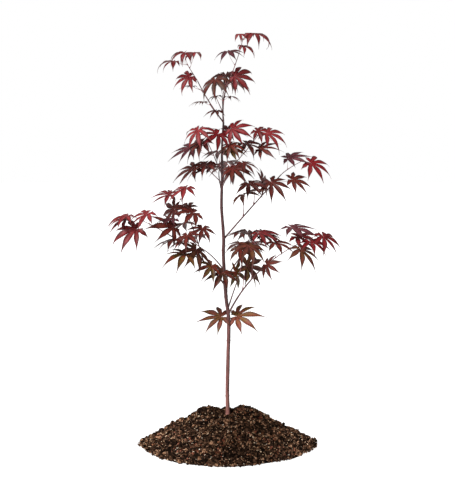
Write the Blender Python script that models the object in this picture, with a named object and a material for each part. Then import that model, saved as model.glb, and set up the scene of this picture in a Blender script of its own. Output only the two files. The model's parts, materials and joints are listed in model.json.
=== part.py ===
"""Young red Japanese maple, one metre tall, rooted in a loose heap of potting soil.

Z is up and the ground is z = 0. The viewer's side is -Y, and bearings are read from above:
0 degrees is +X, 90 degrees is +Y. The trunk and each bough are tapering limbs. Each spray is
one body: a stem, the petioles that leave it in opposite pairs, and a seven-lobed leaf on each.
"""

import math
import random
from collections import namedtuple

import bmesh
import bpy
import numpy as np
from mathutils.bvhtree import BVHTree

UP = np.array((0.0, 0.0, 1.0))
# a tube whose start rises more steeply than this sine is squared up on +Y, not on UP
UPRIGHT = 0.9

# Gap kept between neighbouring bodies, and the room a leaf must find round itself.
GAP = 0.0003
LEAF_ROOM = 0.0005

# ---- trunk: centre line (x, y, z) from the ground cut to the fork, radius at (height, radius)
TRUNK_LINE = (
    (0.0013, 0.0, 0.0603), (-0.0003, 0.0, 0.12), (0.0012, 0.0, 0.20), (0.0030, 0.0, 0.30),
    (-0.0042, 0.0, 0.365), (-0.0098, 0.0, 0.46), (-0.0095, 0.0, 0.51), (-0.0145, 0.002, 0.585),
    (-0.0128, 0.002, 0.66), (-0.0133, 0.0, 0.72), (-0.0096, 0.0, 0.789),
)
TRUNK_GIRTH = (
    (0.0603, 0.0068), (0.066, 0.0060), (0.078, 0.0053), (0.10, 0.0049), (0.30, 0.0046),
    (0.45, 0.0043), (0.60, 0.0036), (0.70, 0.0029), (0.789, 0.0023),
)
TRUNK_SIDES = 10
TRUNK_RINGS = 28
# the first girths belong to the root flare; above them rings are even again after a gap
FLARE_GIRTHS = 4
FLARE_GAP = 0.01

# ---- boughs: where each leaves its parent (height on the trunk in metres, or share of a
# bough's length), bearing and rise at root and tip in degrees, length, radius at root and tip
Bough = namedtuple("Bough", "parent at bearing rise length girth")
BOUGHS = {
    "low_right": Bough("trunk", 0.316, (-24, -20), (64, 39), 0.180, (0.0024, 0.0014)),
    "low_front": Bough("trunk", 0.328, (-30, -60), (72, 60), 0.105, (0.0019, 0.0012)),
    "low_left": Bough("trunk", 0.389, (205, 192), (53, 31), 0.207, (0.0024, 0.0013)),
    "low_left_riser": Bough("low_left", 0.42, (140, 150), (72, 63), 0.102, (0.0016, 0.0011)),
    "low_back": Bough("trunk", 0.40, (52, 62), (44, 26), 0.105, (0.0019, 0.0012)),
    "low_back_left": Bough("trunk", 0.425, (128, 140), (40, 20), 0.100, (0.0018, 0.0012)),
    "mid_right": Bough("trunk", 0.504, (26, 18), (45, 45), 0.220, (0.0022, 0.0013)),
    "mid_back": Bough("trunk", 0.62, (105, 85), (44, 20), 0.095, (0.0017, 0.0011)),
    "mid_front": Bough("trunk", 0.622, (-70, -95), (54, 40), 0.060, (0.0016, 0.0011)),
    "high_left": Bough("trunk", 0.661, (205, 200), (62, 68), 0.050, (0.0015, 0.0011)),
    "high_right": Bough("trunk", 0.655, (28, 24), (43, 44), 0.062, (0.0016, 0.0011)),
    "leader": Bough("trunk", 1.0, (10, -5), (97, 70), 0.092, (0.0021, 0.0014)),
    "top_left": Bough("trunk", 0.787, (160, 150), (50, 60), 0.122, (0.0017, 0.0011)),
    "top_back": Bough("leader", 0.34, (100, 75), (56, 38), 0.058, (0.0014, 0.0010)),
}
BOUGH_SIDES = 8
BOUGH_RINGS = 9
BOUGH_TAPER = 0.8

# ---- sprays: root on its limb (1 is the limb's tip), bearing and rise of the stem at root and
# tip, stem length, bearing and tilt of the blades' faces, leaf length, tint of each node's
# leaves, and the nodes (share of the stem, turn round it, petiole in mm, leaves)
Spray = namedtuple("Spray", "limb at bearing rise length facing tilt leaf tints nodes")
SPRAYS = {
    "stem_pair": Spray(
        "trunk", 0.276, (90, 90), (60, 60), 0.005, -90, 34, 0.070, ("brown",),
        ((1, 25, 29, 1), (1, 155, 29, 1))),
    "low_right_tip": Spray(
        "low_right", 1, (-20, -8), (39, 22), 0.128, (-62, -45, -70, -62),
        (28, 34, 8, 30), (0.060, 0.068, 0.068, 0.058),
        ("maroon", "brown", "purple", "red", "bright", "bright"),
        ((0.10, 84, 38, 1), (0.44, -35, 40, 1), (0.44, 92, 50, 1), (0.52, 130, 30, 1),
         (0.76, -30, 18, 1), (1, -20, 34, 1))),
    "low_right_upper": Spray(
        "low_right", 0.62, (-20, 20), (88, 84), 0.104, -80, 28, 0.058, ("maroon", "red"),
        ((0.8, -60, 34, 1), (1, -30, 16, 1))),
    "low_right_side": Spray(
        "low_right", 0.41, (-60, -80), (80, 70), 0.024, -80, 46, 0.064, ("brown", "olive"),
        ((1, 60, 30, 1), (0.8, 150, 30, 1))),
    "low_right_end": Spray(
        "low_right", 0.85, (-50, -60), (20, 0), 0.012, -125, 50, 0.046, ("maroon",),
        ((1, 60, 12, 1),)),
    "low_front_tip": Spray(
        "low_front", 1, (-60, -40), (74, 60), 0.070, (-85, -40, -85), (34, 26, 12),
        (0.064, 0.054, 0.050), ("bronze", "brown", "maroon"),
        ((0.6, 90, 30, 1), (1, -40, 32, 1), (1, 70, 44, 1))),
    "stem_front": Spray(
        "trunk", 0.401, (-75, -60), (50, 40), 0.014, -95, 46, 0.062, ("bronze", "olive"),
        ((1, 0, 20, 1), (1, 180, 18, 1))),
    "low_left_tip": Spray(
        "low_left", 1, (180, 165), (30, 22), 0.086, -122, (26, 44, 24, 20),
        (0.064, 0.072, 0.060, 0.060), ("red",),
        ((0.46, 95, 24, 1), (0.42, 246, 40, 1), (1, 200, 20, 1), (1, -60, 24, 1))),
    "low_left_mid": Spray(
        "low_left", 0.74, (-110, -110), (60, 40), 0.012, -110, (34, 34, 34, 12),
        (0.072, 0.062, 0.058, 0.046), ("maroon", "maroon", "maroon", "purple"),
        ((1, 55, 34, 1), (1, -20, 18, 1), (1, 180, 26, 1), (1, 50, 52, 1))),
    "low_left_low": Spray(
        "low_left", 0.54, (-110, -100), (40, 20), 0.014, (-120, -60), (54, 44),
        (0.076, 0.064), ("olive", "brown"), ((1, 20, 20, 1), (0.9, 150, 10, 1))),
    "low_left_root": Spray(
        "low_left", 0.24, (-120, -90), (60, 50), 0.014, -95, 42, 0.056,
        ("olive",), ((1, 0, 14, 1),)),
    "riser_low": Spray(
        "low_left_riser", 0.62, (-90, -90), (60, 50), 0.010, -80, 30, 0.054,
        ("maroon",), ((1, 190, 24, 1),)),
    "riser_right": Spray(
        "low_left_riser", 0.90, (-20, -30), (64, 50), 0.018, -75, 36, 0.064,
        ("maroon",), ((1, 90, 16, 1),)),
    "riser_tip": Spray(
        "low_left_riser", 1, (150, 165), (62, 68), 0.058, -105, (28, 28, 24), 0.058,
        ("maroon", "maroon", "red"), ((0.3, -150, 28, 1), (0.3, 0, 26, 1), (1, 100, 30, 2))),
    "low_back_tip": Spray(
        "low_back", 1, (75, 70), (30, 20), 0.080, 80, 16, 0.058, ("maroon",),
        ((0.3, 10, 28, 2), (0.65, 100, 28, 2), (1, 10, 28, 2))),
    "low_back_left_tip": Spray(
        "low_back_left", 1, (140, 125), (28, 18), 0.070, 130, 18, 0.056, ("maroon",),
        ((0.3, 10, 28, 2), (1, 80, 28, 2))),
    "mid_right_low": Spray(
        "mid_right", 0.34, (-40, -80), (88, 80), 0.046, -150, 30, 0.064,
        ("brown",), ((1, -70, 18, 1),)),
    "mid_right_mid": Spray(
        "mid_right", 0.52, (-60, -60), (82, 78), 0.036, -85, 38, 0.058,
        ("maroon",), ((0.9, 0, 28, 2),)),
    "mid_right_end": Spray(
        "mid_right", 0.79, (-60, -60), (40, 20), 0.020, -85, 34, 0.062,
        ("maroon",), ((1, 0, 16, 1),)),
    "mid_right_fore": Spray(
        "mid_right", 0.86, (-40, -50), (20, 0), 0.016, -75, 32, 0.060,
        ("maroon",), ((1, 180, 30, 1),)),
    "mid_right_tip": Spray(
        "mid_right", 1, (14, 0), (38, 24), 0.062, (-105, -68), (20, 36), (0.060, 0.068),
        ("purple", "bright"), ((0.28, 105, 28, 1), (1, -50, 24, 1))),
    "mid_back_tip": Spray(
        "mid_back", 1, (90, 90), (18, 8), 0.070, 90, 16, 0.058, ("maroon",),
        ((0.3, 10, 28, 2), (1, 100, 28, 2))),
    "high_left_low": Spray(
        "trunk", 0.640, (168, 158), (46, 36), 0.054, -110, (30, 34, 34), 0.060,
        ("maroon",), ((0.45, 0, 30, 1), (0.6, 150, 32, 1), (1, -120, 24, 1))),
    "high_left_tip": Spray(
        "high_left", 1, (195, 205), (64, 66), 0.058, -110, (32, 32, 50), (0.066, 0.060),
        ("purple", "maroon", "red"),
        ((0.02, -78, 50, 1), (0.55, -100, 16, 1), (1, -130, 32, 1))),
    "high_right_tip": Spray(
        "high_right", 1, (18, 8), (46, 54), 0.080, (-75, -100, -75), (28, 34, 28),
        (0.056, 0.058, 0.046, 0.060), ("maroon", "maroon", "red"),
        ((0.28, 45, 26, 1), (0.30, -50, 36, 1), (0.90, 60, 16, 1), (1, -60, 18, 1))),
    "mid_front_tip": Spray(
        "mid_front", 1, (-85, -70), (38, 26), 0.044, -88, 34, (0.054, 0.052, 0.046),
        ("maroon",), ((0.05, 190, 22, 1), (0.5, 215, 24, 1), (1, 205, 44, 1))),
    "high_front_mid": Spray(
        "trunk", 0.706, (-50, -30), (60, 50), 0.024, -85, 32, 0.048, ("bronze", "olive"),
        ((1, -45, 16, 1), (0.45, -120, 14, 1))),
    "high_front": Spray(
        "trunk", 0.714, (-80, -70), (75, 60), 0.034, (-90, -120, -90), (42, 48, 38),
        (0.062, 0.056), ("bright",), ((0.7, 0, 20, 1), (1, 180, 24, 1), (0.5, 120, 30, 1))),
    "top_inner": Spray(
        "leader", 0.22, (180, 180), (66, 66), 0.042, -110, 52, 0.062, ("maroon",),
        ((1, 159, 52, 1),)),
    "top_back_tip": Spray(
        "top_back", 1, (75, 90), (40, 20), 0.034, 85, 20, 0.052, ("maroon",),
        ((0.5, 0, 26, 2), (1, 90, 24, 1))),
    "leader_low": Spray(
        "leader", 0.44, (-90, -90), (60, 60), 0.006, -90, 4, 0.032, ("maroon",),
        ((1, 0, 16, 2),)),
    "leader_mid": Spray(
        "leader", 0.94, (-60, -60), (60, 60), 0.008, -80, 50, 0.058, ("red",),
        ((1, 180, 20, 1),)),
    "top_left_low": Spray(
        "top_left", 0.20, (-120, -170), (30, 60), 0.030, -100, 24, 0.036,
        ("maroon",), ((0.2, 180, 8, 1), (1, 0, 20, 1))),
    "top_left_mid": Spray(
        "top_left", 0.74, (-150, -165), (40, 20), 0.010, -100, 6, 0.034, ("purple",),
        ((1, 0, 20, 1),)),
    "top_left_tip": Spray(
        "top_left", 1, (165, 190), (56, 60), 0.046, -100, (34, 14), 0.050, ("red",),
        ((0.05, -140, 18, 1), (0.95, -88, 33, 1), (0.74, 70, 42, 1), (1, 175, 42, 1))),
    "leader_tip": Spray(
        "leader", 1, (-20, -30), (64, 74), 0.110, (-105, -75), (6, 14, 10, 14),
        (0.052, 0.046, 0.060, 0.032), ("purple", "red"),
        ((0.41, 75, 40, 1), (0.76, 180, 14, 1), (1, -88, 32, 1), (1, 90, 17, 1))),
}
STEM_GIRTH = (0.0011, 0.0007)
STEM_SIDES = 5
STEM_RINGS = 5
# a stem's root is left out of the room test up to this many times its depth in the limb
ROOT_SPREAD = 1.15
PETIOLE_GIRTH = (0.00055, 0.00036)
PETIOLE_SIDES = 3
PETIOLE_SAG = 0.06
# how far a petiole runs on inside its leaf, as a share of the leaf's length
PETIOLE_SINK = 0.012

# ---- leaf: each lobe's angle from the middle lobe and its length as a share of the leaf's
LOBES = ((-122, 0.46), (-78, 0.78), (-38, 0.95), (0, 1.0), (38, 0.95), (78, 0.78), (122, 0.46))
# where a lobe is widest, as a share of its length; lobes shorter than HEEL_LOBE have no flanks
LOBE_WAIST = 0.46
HEEL_LOBE = 0.5
# as shares of the leaf's length: half the width of the middle lobe, reach of the notches
# between the lobes and of the heel behind the petiole, and thickness at the hub
LOBE_HALF_WIDTH = 0.105
NOTCH_REACH = 0.17
HEEL_REACH = 0.05
LEAF_THICKNESS = 0.018
# how far the lobe tips hang below the blade, low on the plant and at its top
DROOP_LOW, DROOP_TOP = 0.20, 0.62

# ---- seeded variation of each leaf: turn and tilt in degrees, petiole and leaf size as shares
TURN_SPREAD = 22.0
TILT_SPREAD = 13.0
PETIOLE_SPREAD = 0.12
SIZE_SPREAD = 0.08
# tries at finding a leaf a free place; each try swings its petiole further, in degrees, and
# makes the petiole longer and the leaf smaller by these shares
TRIES = 24
SWING = 7.0
PETIOLE_STRETCH = 0.02
LEAF_SHRINK = 0.004

# ---- how leaves are set: a petiole's lean along the stem, outward and up; a blade's pull away
# from the trunk, along its petiole and to its spray's light; how far its middle lobe dips
PETIOLE_LEAN = (0.6, 0.8, 0.15)
BLADE_PULL = (0.8, 0.8, 0.25)
BLADE_DIP = 0.15
# heights between which the leaves pass from the low droop to the top droop
DROOP_HEIGHTS = (0.7, 1.0)
# last share of a stem at which a petiole may leave it
LAST_NODE = 0.97

# ---- soil heap: half an oval before the trunk and a blunt wedge behind it, whose depth is a
# share of the oval's and whose power is 2 for an oval and 1 for a straight-sided wedge
HEAP_SIDE, HEAP_DEPTH = 0.216, 0.190
HEAP_MIDDLE = -0.020
HEAP_BACK = 0.60
HEAP_WEDGE = 1.2
HEAP_HEIGHT = 0.065
# slope: 1 would be a straight-sided cone, more rounds the top
HEAP_POWER = 2.1
HEAP_LIP = 0.004
HEAP_LUMPS = 90
HEAP_LUMP_SIZE = (0.010, 0.026)
HEAP_LUMP_HEIGHT = (-0.003, 0.0055)
# humps of the ridge behind the trunk: x, y, width, rise
HEAP_HUMPS = (
    (-0.036, 0.034, 0.030, 0.017), (0.044, 0.030, 0.036, 0.024),
    (-0.076, 0.022, 0.030, 0.019), (0.088, 0.018, 0.034, 0.013),
)
# waves in the foot's outline: size as a share of its reach, waves a turn, where they start
HEAP_WAVES = ((0.012, 3, 0.6), (0.010, 5, 2.0), (0.008, 9, 1.1), (0.006, 14, 4.0))
HEAP_RINGS = 13
HEAP_SPOKES = 40
# flat seat under the trunk's foot, and the radius at which its bank ends
SEAT_HEIGHT = 0.060
SEAT_RADIUS = 0.0095
SEAT_BANK = 0.026

LEAF_TINTS = {
    "brown": "#6E3E30", "bronze": "#5C3226", "olive": "#69502F", "maroon": "#501C20",
    "purple": "#5F232D", "red": "#8C1C24", "bright": "#A51620",
}
BARK = "#6B3A40"
SOIL = "#3A2418"


# ---------------------------------------------------------------- paths

def unit(vector):
    return vector / np.linalg.norm(vector)


def heading(bearing, rise):
    """Unit vector at a bearing seen from above and a rise above the level, in degrees."""
    turn = math.radians(bearing)
    lift = math.radians(rise)
    level = math.cos(lift)
    return np.array((level * math.cos(turn), level * math.sin(turn), math.sin(lift)))


def smooth_line(points, count):
    """Catmull-Rom line through the points, sampled at `count` even steps."""
    inner = np.array(points, float)
    line = np.vstack((2 * inner[0] - inner[1], inner, 2 * inner[-1] - inner[-2]))
    where = np.linspace(0, len(points) - 1, count)
    first = np.minimum(where.astype(int), len(points) - 2)
    t = (where - first)[:, None]
    a, b, c, d = (line[first + k] for k in range(4))
    return 0.5 * (2 * b + (c - a) * t + (2 * a - 5 * b + 4 * c - d) * t**2
                  + (3 * b - a - 3 * c + d) * t**3)


def grow(start, bearing, rise, length, rings):
    """Line that turns evenly from its first bearing and rise to its last, in equal steps."""
    share = (np.arange(rings - 1) + 0.5) / (rings - 1)
    turn = np.radians(bearing[0] + (bearing[1] - bearing[0]) * share)
    lift = np.radians(rise[0] + (rise[1] - rise[0]) * share)
    steps = np.stack((np.cos(lift) * np.cos(turn), np.cos(lift) * np.sin(turn), np.sin(lift)), 1)
    return np.vstack((start, start + np.cumsum(steps * length / (rings - 1), axis=0)))


def along(line, share):
    """Point and direction at a share of a line's length."""
    spans = np.linalg.norm(np.diff(line, axis=0), axis=1)
    walked = np.concatenate(((0.0,), np.cumsum(spans)))
    want = share * walked[-1]
    k = int(np.clip(np.searchsorted(walked, want) - 1, 0, len(spans) - 1))
    step = line[k + 1] - line[k]
    return line[k] + step * (want - walked[k]) / spans[k], unit(step)


def share_at_height(line, height):
    """Share of the line's length at which it reaches a height."""
    spans = np.linalg.norm(np.diff(line, axis=0), axis=1)
    walked = np.concatenate(((0.0,), np.cumsum(spans)))
    return float(np.interp(height, line[:, 2], walked)) / walked[-1]


# ---------------------------------------------------------------- solids as (points, faces)

def tube(line, radii, sides):
    """Closed tube: a ring of points round each point of the line, and a flat cap at each end."""
    tangents = np.gradient(line, axis=0)
    tangents /= np.linalg.norm(tangents, axis=1)[:, None]
    across = np.cross(tangents[0], UP if abs(tangents[0][2]) < UPRIGHT else (0.0, 1.0, 0.0))
    rings = []
    angles = 2 * np.pi * np.arange(sides) / sides
    for centre, tangent, radius in zip(line, tangents, radii):
        across = unit(across - tangent * (across @ tangent))
        other = np.cross(tangent, across)
        rings.append(centre + radius * (np.outer(np.cos(angles), across)
                                        + np.outer(np.sin(angles), other)))
    last = (len(line) - 1) * sides
    faces = [(0, k + 1, k) for k in range(1, sides - 1)]
    faces += [(last, last + k, last + k + 1) for k in range(1, sides - 1)]
    for k in range(sides):
        j = (k + 1) % sides
        for ring in range(0, last, sides):
            faces.append((ring + k, ring + j, ring + sides + j))
            faces.append((ring + k, ring + sides + j, ring + sides + k))
    return np.vstack(rings), faces


def leaf(base, middle, side, normal, length, droop, extra=0.0):
    """Palmate leaf as a thin lens: a sharp outline fanned to a raised hub and a lowered one.

    The outline goes round the lobes as notch, flank, tip, flank; the heel lobes have no flanks.
    `extra` thickens the lens.
    """
    half = LEAF_THICKNESS * length / 2 + extra

    def place(angle, reach, offset, sag):
        turn = math.radians(angle)
        outward = middle * math.cos(turn) + side * math.sin(turn)
        flank = side * math.cos(turn) - middle * math.sin(turn)
        return base + outward * reach + flank * offset - normal * sag

    outline = [place(180.0, HEEL_REACH * length, 0.0, 0.0)]
    for k, (angle, share) in enumerate(LOBES):
        reach = share * length
        width = LOBE_HALF_WIDTH * length * math.sqrt(share)
        waist_sag = droop * LOBE_WAIST**2 * reach
        if k:
            between = (angle + LOBES[k - 1][0]) / 2
            notch_sag = droop * NOTCH_REACH**2 * length
            outline.append(place(between, NOTCH_REACH * length, 0.0, notch_sag))
        if share > HEEL_LOBE:
            outline.append(place(angle, LOBE_WAIST * reach, -width, waist_sag))
        outline.append(place(angle, reach, 0.0, droop * reach))
        if share > HEEL_LOBE:
            outline.append(place(angle, LOBE_WAIST * reach, width, waist_sag))
    rim = len(outline)
    points = outline + [base + normal * half, base - normal * half]
    faces = []
    for k in range(rim):
        faces.append((rim, k, (k + 1) % rim))
        faces.append((rim + 1, (k + 1) % rim, k))
    return np.array(points), faces


# ---------------------------------------------------------------- plan of the plant

class Room:
    """The bodies placed so far, so that a new one can be tested for touching them."""

    def __init__(self):
        self.taken = []

    def add(self, points, faces, owner):
        centre = points.mean(axis=0)
        radius = float(np.linalg.norm(points - centre, axis=1).max())
        tree = BVHTree.FromPolygons(points.tolist(), faces, all_triangles=True)
        self.taken.append((centre, radius, tree, owner))

    def free(self, points, faces, owner):
        centre = points.mean(axis=0)
        radius = float(np.linalg.norm(points - centre, axis=1).max())
        tree = BVHTree.FromPolygons(points.tolist(), faces, all_triangles=True)
        for other_centre, other_radius, other_tree, other_owner in self.taken:
            if other_owner == owner:
                continue
            if np.linalg.norm(centre - other_centre) > radius + other_radius:
                continue
            if tree.overlap(other_tree):
                return False
        return True


Limb = namedtuple("Limb", "line radii sides")


def limb_solid(limb, extra=0.0):
    return tube(limb.line, limb.radii + extra, limb.sides)


def plan_limbs():
    """Centre line and radii of the trunk and of each bough, by name."""
    line = smooth_line(TRUNK_LINE, TRUNK_RINGS)
    # rings crowd towards the foot, where the root flare turns quickest
    heights, girths = zip(*TRUNK_GIRTH)
    flare = heights[1:FLARE_GIRTHS]
    foot = np.array([along(line, share_at_height(line, z))[0] for z in flare])
    line = np.vstack((line[:1], foot, line[line[:, 2] > flare[-1] + FLARE_GAP]))
    limbs = {"trunk": Limb(line, np.interp(line[:, 2], heights, girths), TRUNK_SIDES)}
    for name, bough in BOUGHS.items():
        start, _ = root_on(limbs[bough.parent], bough)
        path = grow(start, bough.bearing, bough.rise, bough.length, BOUGH_RINGS)
        share = np.linspace(0.0, 1.0, BOUGH_RINGS)
        radii = bough.girth[0] + (bough.girth[1] - bough.girth[0]) * share**BOUGH_TAPER
        limbs[name] = Limb(path, radii, BOUGH_SIDES)
    return limbs


def root_on(limb, shoot):
    """Where a shoot's centre line starts on its limb, and how far it runs inside the limb."""
    line, radii = limb.line, limb.radii
    if shoot.at == 1:
        tip, direction = along(line, 1.0)
        return tip + direction * GAP, 0.0
    on_trunk = "trunk" in (getattr(shoot, "parent", None), getattr(shoot, "limb", None))
    share = share_at_height(line, shoot.at) if on_trunk else shoot.at
    start, direction = along(line, share)
    radius = float(np.interp(share, np.linspace(0.0, 1.0, len(radii)), radii))
    leaving = np.cross(direction, heading(shoot.bearing[0], shoot.rise[0]))
    return start, (radius + GAP) / float(np.linalg.norm(leaving))


def blade_frame(toward, facing, tilt):
    """Middle-lobe direction, side and normal of a blade tilted from level to a bearing."""
    lean = math.radians(tilt)
    normal = UP * math.cos(lean) + heading(facing, 0.0) * math.sin(lean)
    middle = unit(toward - normal * (toward @ normal))
    return middle, np.cross(normal, middle), normal


def petiole_line(foot, joint, middle, length):
    """Petiole from the stem's core, sagging a little, and on into the leaf's hub."""
    halfway = (foot + joint) / 2 - UP * PETIOLE_SAG * np.linalg.norm(joint - foot)
    return np.array((foot, halfway, joint + middle * PETIOLE_SINK * length))


def of_leaf(values, order):
    """What the leaves of a node take from their spray: its one value, or their turn in a tuple."""
    values = values if isinstance(values, tuple) else (values,)
    return values[min(order, len(values) - 1)]


def plan_leaf(name, spray, axis, node, order, sign, attempt):
    """One leaf's petiole and blade, from its node and a seed; later tries swing it further."""
    foot, direction, roll, petiole = node
    dice = random.Random(f"{name} {order} {sign} {attempt}")
    swing = SWING * attempt
    across = unit(np.cross(direction, UP))
    above = np.cross(across, direction)
    turn = math.radians(roll + dice.uniform(-swing, swing))
    outward = sign * (across * math.cos(turn) + above * math.sin(turn))
    on, out, up = PETIOLE_LEAN
    reach = unit(on * direction + out * outward + up * UP)
    length = petiole * 0.001 * (1 + PETIOLE_SPREAD * dice.uniform(-1, 1))
    joint = foot + reach * length * (1 + PETIOLE_STRETCH * attempt)
    away, onward, lightward = BLADE_PULL
    toward = away * unit((joint - axis) * (1, 1, 0)) + onward * reach * (1, 1, 0)
    toward = toward + lightward * heading(of_leaf(spray.facing, order), 0.0)
    toward = toward - UP * BLADE_DIP * (1 + dice.uniform(-1, 1))
    facing = of_leaf(spray.facing, order) + dice.uniform(-1, 1) * (TURN_SPREAD + swing)
    tilt = of_leaf(spray.tilt, order) + dice.uniform(-1, 1) * (TILT_SPREAD + swing / 2)
    size = of_leaf(spray.leaf, order) * (1 + SIZE_SPREAD * dice.uniform(-1, 1))
    size *= 1 - LEAF_SHRINK * attempt
    middle, side, normal = blade_frame(unit(toward), facing, tilt)
    droop = float(np.interp(joint[2], DROOP_HEIGHTS, (DROOP_LOW, DROOP_TOP)))
    return foot, joint, middle, side, normal, size, droop, of_leaf(spray.tints, order)


def plan_sprays(limbs):
    """Stem and leaves of each spray. A leaf that finds no free place is left out."""
    room = Room()
    for name, limb in limbs.items():
        room.add(*limb_solid(limb, LEAF_ROOM), name)
    stems = {}
    for name, spray in SPRAYS.items():
        start, lead = root_on(limbs[spray.limb], spray)
        line = grow(start, spray.bearing, spray.rise, lead + spray.length, STEM_RINGS)
        radii = np.linspace(*STEM_GIRTH, STEM_RINGS)
        stems[name] = Limb(line, radii, STEM_SIDES), lead
        outer = line if lead == 0.0 else stem_outside(line, lead)
        room.add(*tube(outer, np.full(len(outer), STEM_GIRTH[0] + LEAF_ROOM), STEM_SIDES), name)
    sprays = {}
    for name, spray in SPRAYS.items():
        stem, lead = stems[name]
        whole = lead + spray.length
        trunk = limbs["trunk"].line
        axis, _ = along(trunk, share_at_height(trunk, stem.line[0][2]))
        leaves = []
        for order, (share, roll, petiole, count) in enumerate(spray.nodes):
            reached = min((lead + share * spray.length) / whole, LAST_NODE)
            node = (*along(stem.line, reached), roll, petiole)
            for sign in (1, -1)[:count]:
                for attempt in range(TRIES):
                    made = plan_leaf(name, spray, axis, node, order, sign, attempt)
                    foot, joint, middle, side, normal, size, droop, tint = made
                    blade = leaf(joint, middle, side, normal, size, droop, LEAF_ROOM)
                    stalk = petiole_line(foot, joint, middle, size)
                    stalk = tube(stalk, np.full(3, PETIOLE_GIRTH[0] + LEAF_ROOM), PETIOLE_SIDES)
                    if room.free(*blade, name) and room.free(*stalk, name):
                        room.add(*blade, name)
                        room.add(*stalk, name)
                        leaves.append(made)
                        break
        sprays[name] = (stem, leaves)
    return sprays


def stem_outside(line, lead):
    """The part of a stem's line that stands outside its limb."""
    whole = float(np.linalg.norm(np.diff(line, axis=0), axis=1).sum())
    shares = np.linspace(min(1.0, ROOT_SPREAD * lead / whole), 1.0, len(line))
    return np.array([along(line, share)[0] for share in shares])


# ---------------------------------------------------------------- Blender objects

def linear(hex_colour):
    """Linear RGB and alpha of an sRGB hex colour."""
    values = [int(hex_colour[k:k + 2], 16) / 255 for k in (1, 3, 5)]
    low = [v / 12.92 if v <= 0.04045 else ((v + 0.055) / 1.055) ** 2.4 for v in values]
    return (*low, 1.0)


def material(name, colour, roughness):
    made = bpy.data.materials.new(name)
    made.use_nodes = True
    shader = made.node_tree.nodes["Principled BSDF"]
    shader.inputs["Base Color"].default_value = linear(colour)
    shader.inputs["Roughness"].default_value = roughness
    made.diffuse_color = linear(colour)
    return made


def add_object(name, points, faces, surface=None, shade=False):
    mesh = bpy.data.meshes.new(name)
    mesh.from_pydata(np.asarray(points).tolist(), [], [tuple(face) for face in faces])
    if surface:
        mesh.materials.append(surface)
    if shade:
        mesh.shade_smooth()
    body = bpy.data.objects.new(name, mesh)
    bpy.context.scene.collection.objects.link(body)
    return body


def drop(body):
    mesh = body.data
    bpy.data.objects.remove(body)
    bpy.data.meshes.remove(mesh)


def settle(body):
    """Apply the object's modifiers to its mesh."""
    graph = bpy.context.evaluated_depsgraph_get()
    mesh = bpy.data.meshes.new_from_object(body.evaluated_get(graph), depsgraph=graph)
    body.modifiers.clear()
    old = body.data
    body.data = mesh
    bpy.data.meshes.remove(old)


def cut(body, solids):
    """Take each solid away from the body."""
    for points, faces in solids:
        cutter = add_object("cutter", points, faces)
        trim = body.modifiers.new("trim", "BOOLEAN")
        trim.operation = "DIFFERENCE"
        trim.solver = "EXACT"
        trim.object = cutter
        settle(body)
        drop(cutter)


def touching(solid, limbs, own):
    """Limbs, thickened by the gap, that a solid meets."""
    tree = BVHTree.FromPolygons(solid[0].tolist(), solid[1], all_triangles=True)
    met = []
    for name, limb in limbs.items():
        thick = limb_solid(limb, GAP / math.cos(math.pi / limb.sides))
        other = BVHTree.FromPolygons(thick[0].tolist(), thick[1], all_triangles=True)
        if name != own and tree.overlap(other):
            met.append(thick)
    return met


def tidy_mesh(body):
    """Triangulate, keep the largest shell and drop the rest. Says whether it is closed."""
    work = bmesh.new()
    work.from_mesh(body.data)
    bmesh.ops.triangulate(work, faces=work.faces)
    unseen = set(work.verts)
    shells = []
    while unseen:
        shell = {unseen.pop()}
        edge = list(shell)
        while edge:
            near = {e.other_vert(v) for v in edge for e in v.link_edges} & unseen
            unseen -= near
            shell |= near
            edge = list(near)
        shells.append(shell)
    shells.sort(key=len, reverse=True)
    loose = [vert for shell in shells[1:] for vert in shell]
    bmesh.ops.delete(work, geom=loose, context="VERTS")
    closed = all(len(edge.link_faces) == 2 for edge in work.edges)
    work.to_mesh(body.data)
    work.free()
    return closed


def build_limb(name, limbs, surface):
    """Trunk or bough, its root cut to a saddle that clears what it leaves."""
    label = name if name == "trunk" else f"bough_{name}"
    limb = limbs[name]
    solid = limb_solid(limb)
    body = add_object(label, *solid, surface, True)
    earlier = {}
    for other, value in limbs.items():
        if other == name:
            break
        earlier[other] = value
    if name != "trunk" and BOUGHS[name].at != 1:
        cut(body, touching(solid, earlier, name))
        tidy_mesh(body)
    return body


def join_parts(body, parts, solver):
    """One union of the body with everything in a collection."""
    join = body.modifiers.new("join", "BOOLEAN")
    join.operation = "UNION"
    join.operand_type = "COLLECTION"
    join.solver = solver
    join.collection = parts
    settle(body)
    return tidy_mesh(body)


def build_spray(name, stem, leaves, limbs, surface):
    """Stem, petioles and leaves joined into one body by one union."""
    solid = limb_solid(stem)
    body = add_object(f"leaves_{name}", *solid, surface)
    if SPRAYS[name].at != 1:
        cut(body, touching(solid, limbs, name))
    parts = bpy.data.collections.new("parts")
    bpy.context.scene.collection.children.link(parts)
    for foot, joint, middle, side, normal, size, droop, _ in leaves:
        line = petiole_line(foot, joint, middle, size)
        radii = np.linspace(*PETIOLE_GIRTH, len(line))
        for made in (tube(line, radii, PETIOLE_SIDES),
                     leaf(joint, middle, side, normal, size, droop)):
            piece = add_object("piece", *made)
            bpy.context.scene.collection.objects.unlink(piece)
            parts.objects.link(piece)
    bare = body.data.copy()
    if not join_parts(body, parts, "EXACT"):
        body.data = bare
        join_parts(body, parts, "MANIFOLD")
    for piece in list(parts.objects):
        drop(piece)
    bpy.data.collections.remove(parts)
    body.data.materials.clear()
    body.data.materials.append(surface)
    return body


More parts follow.
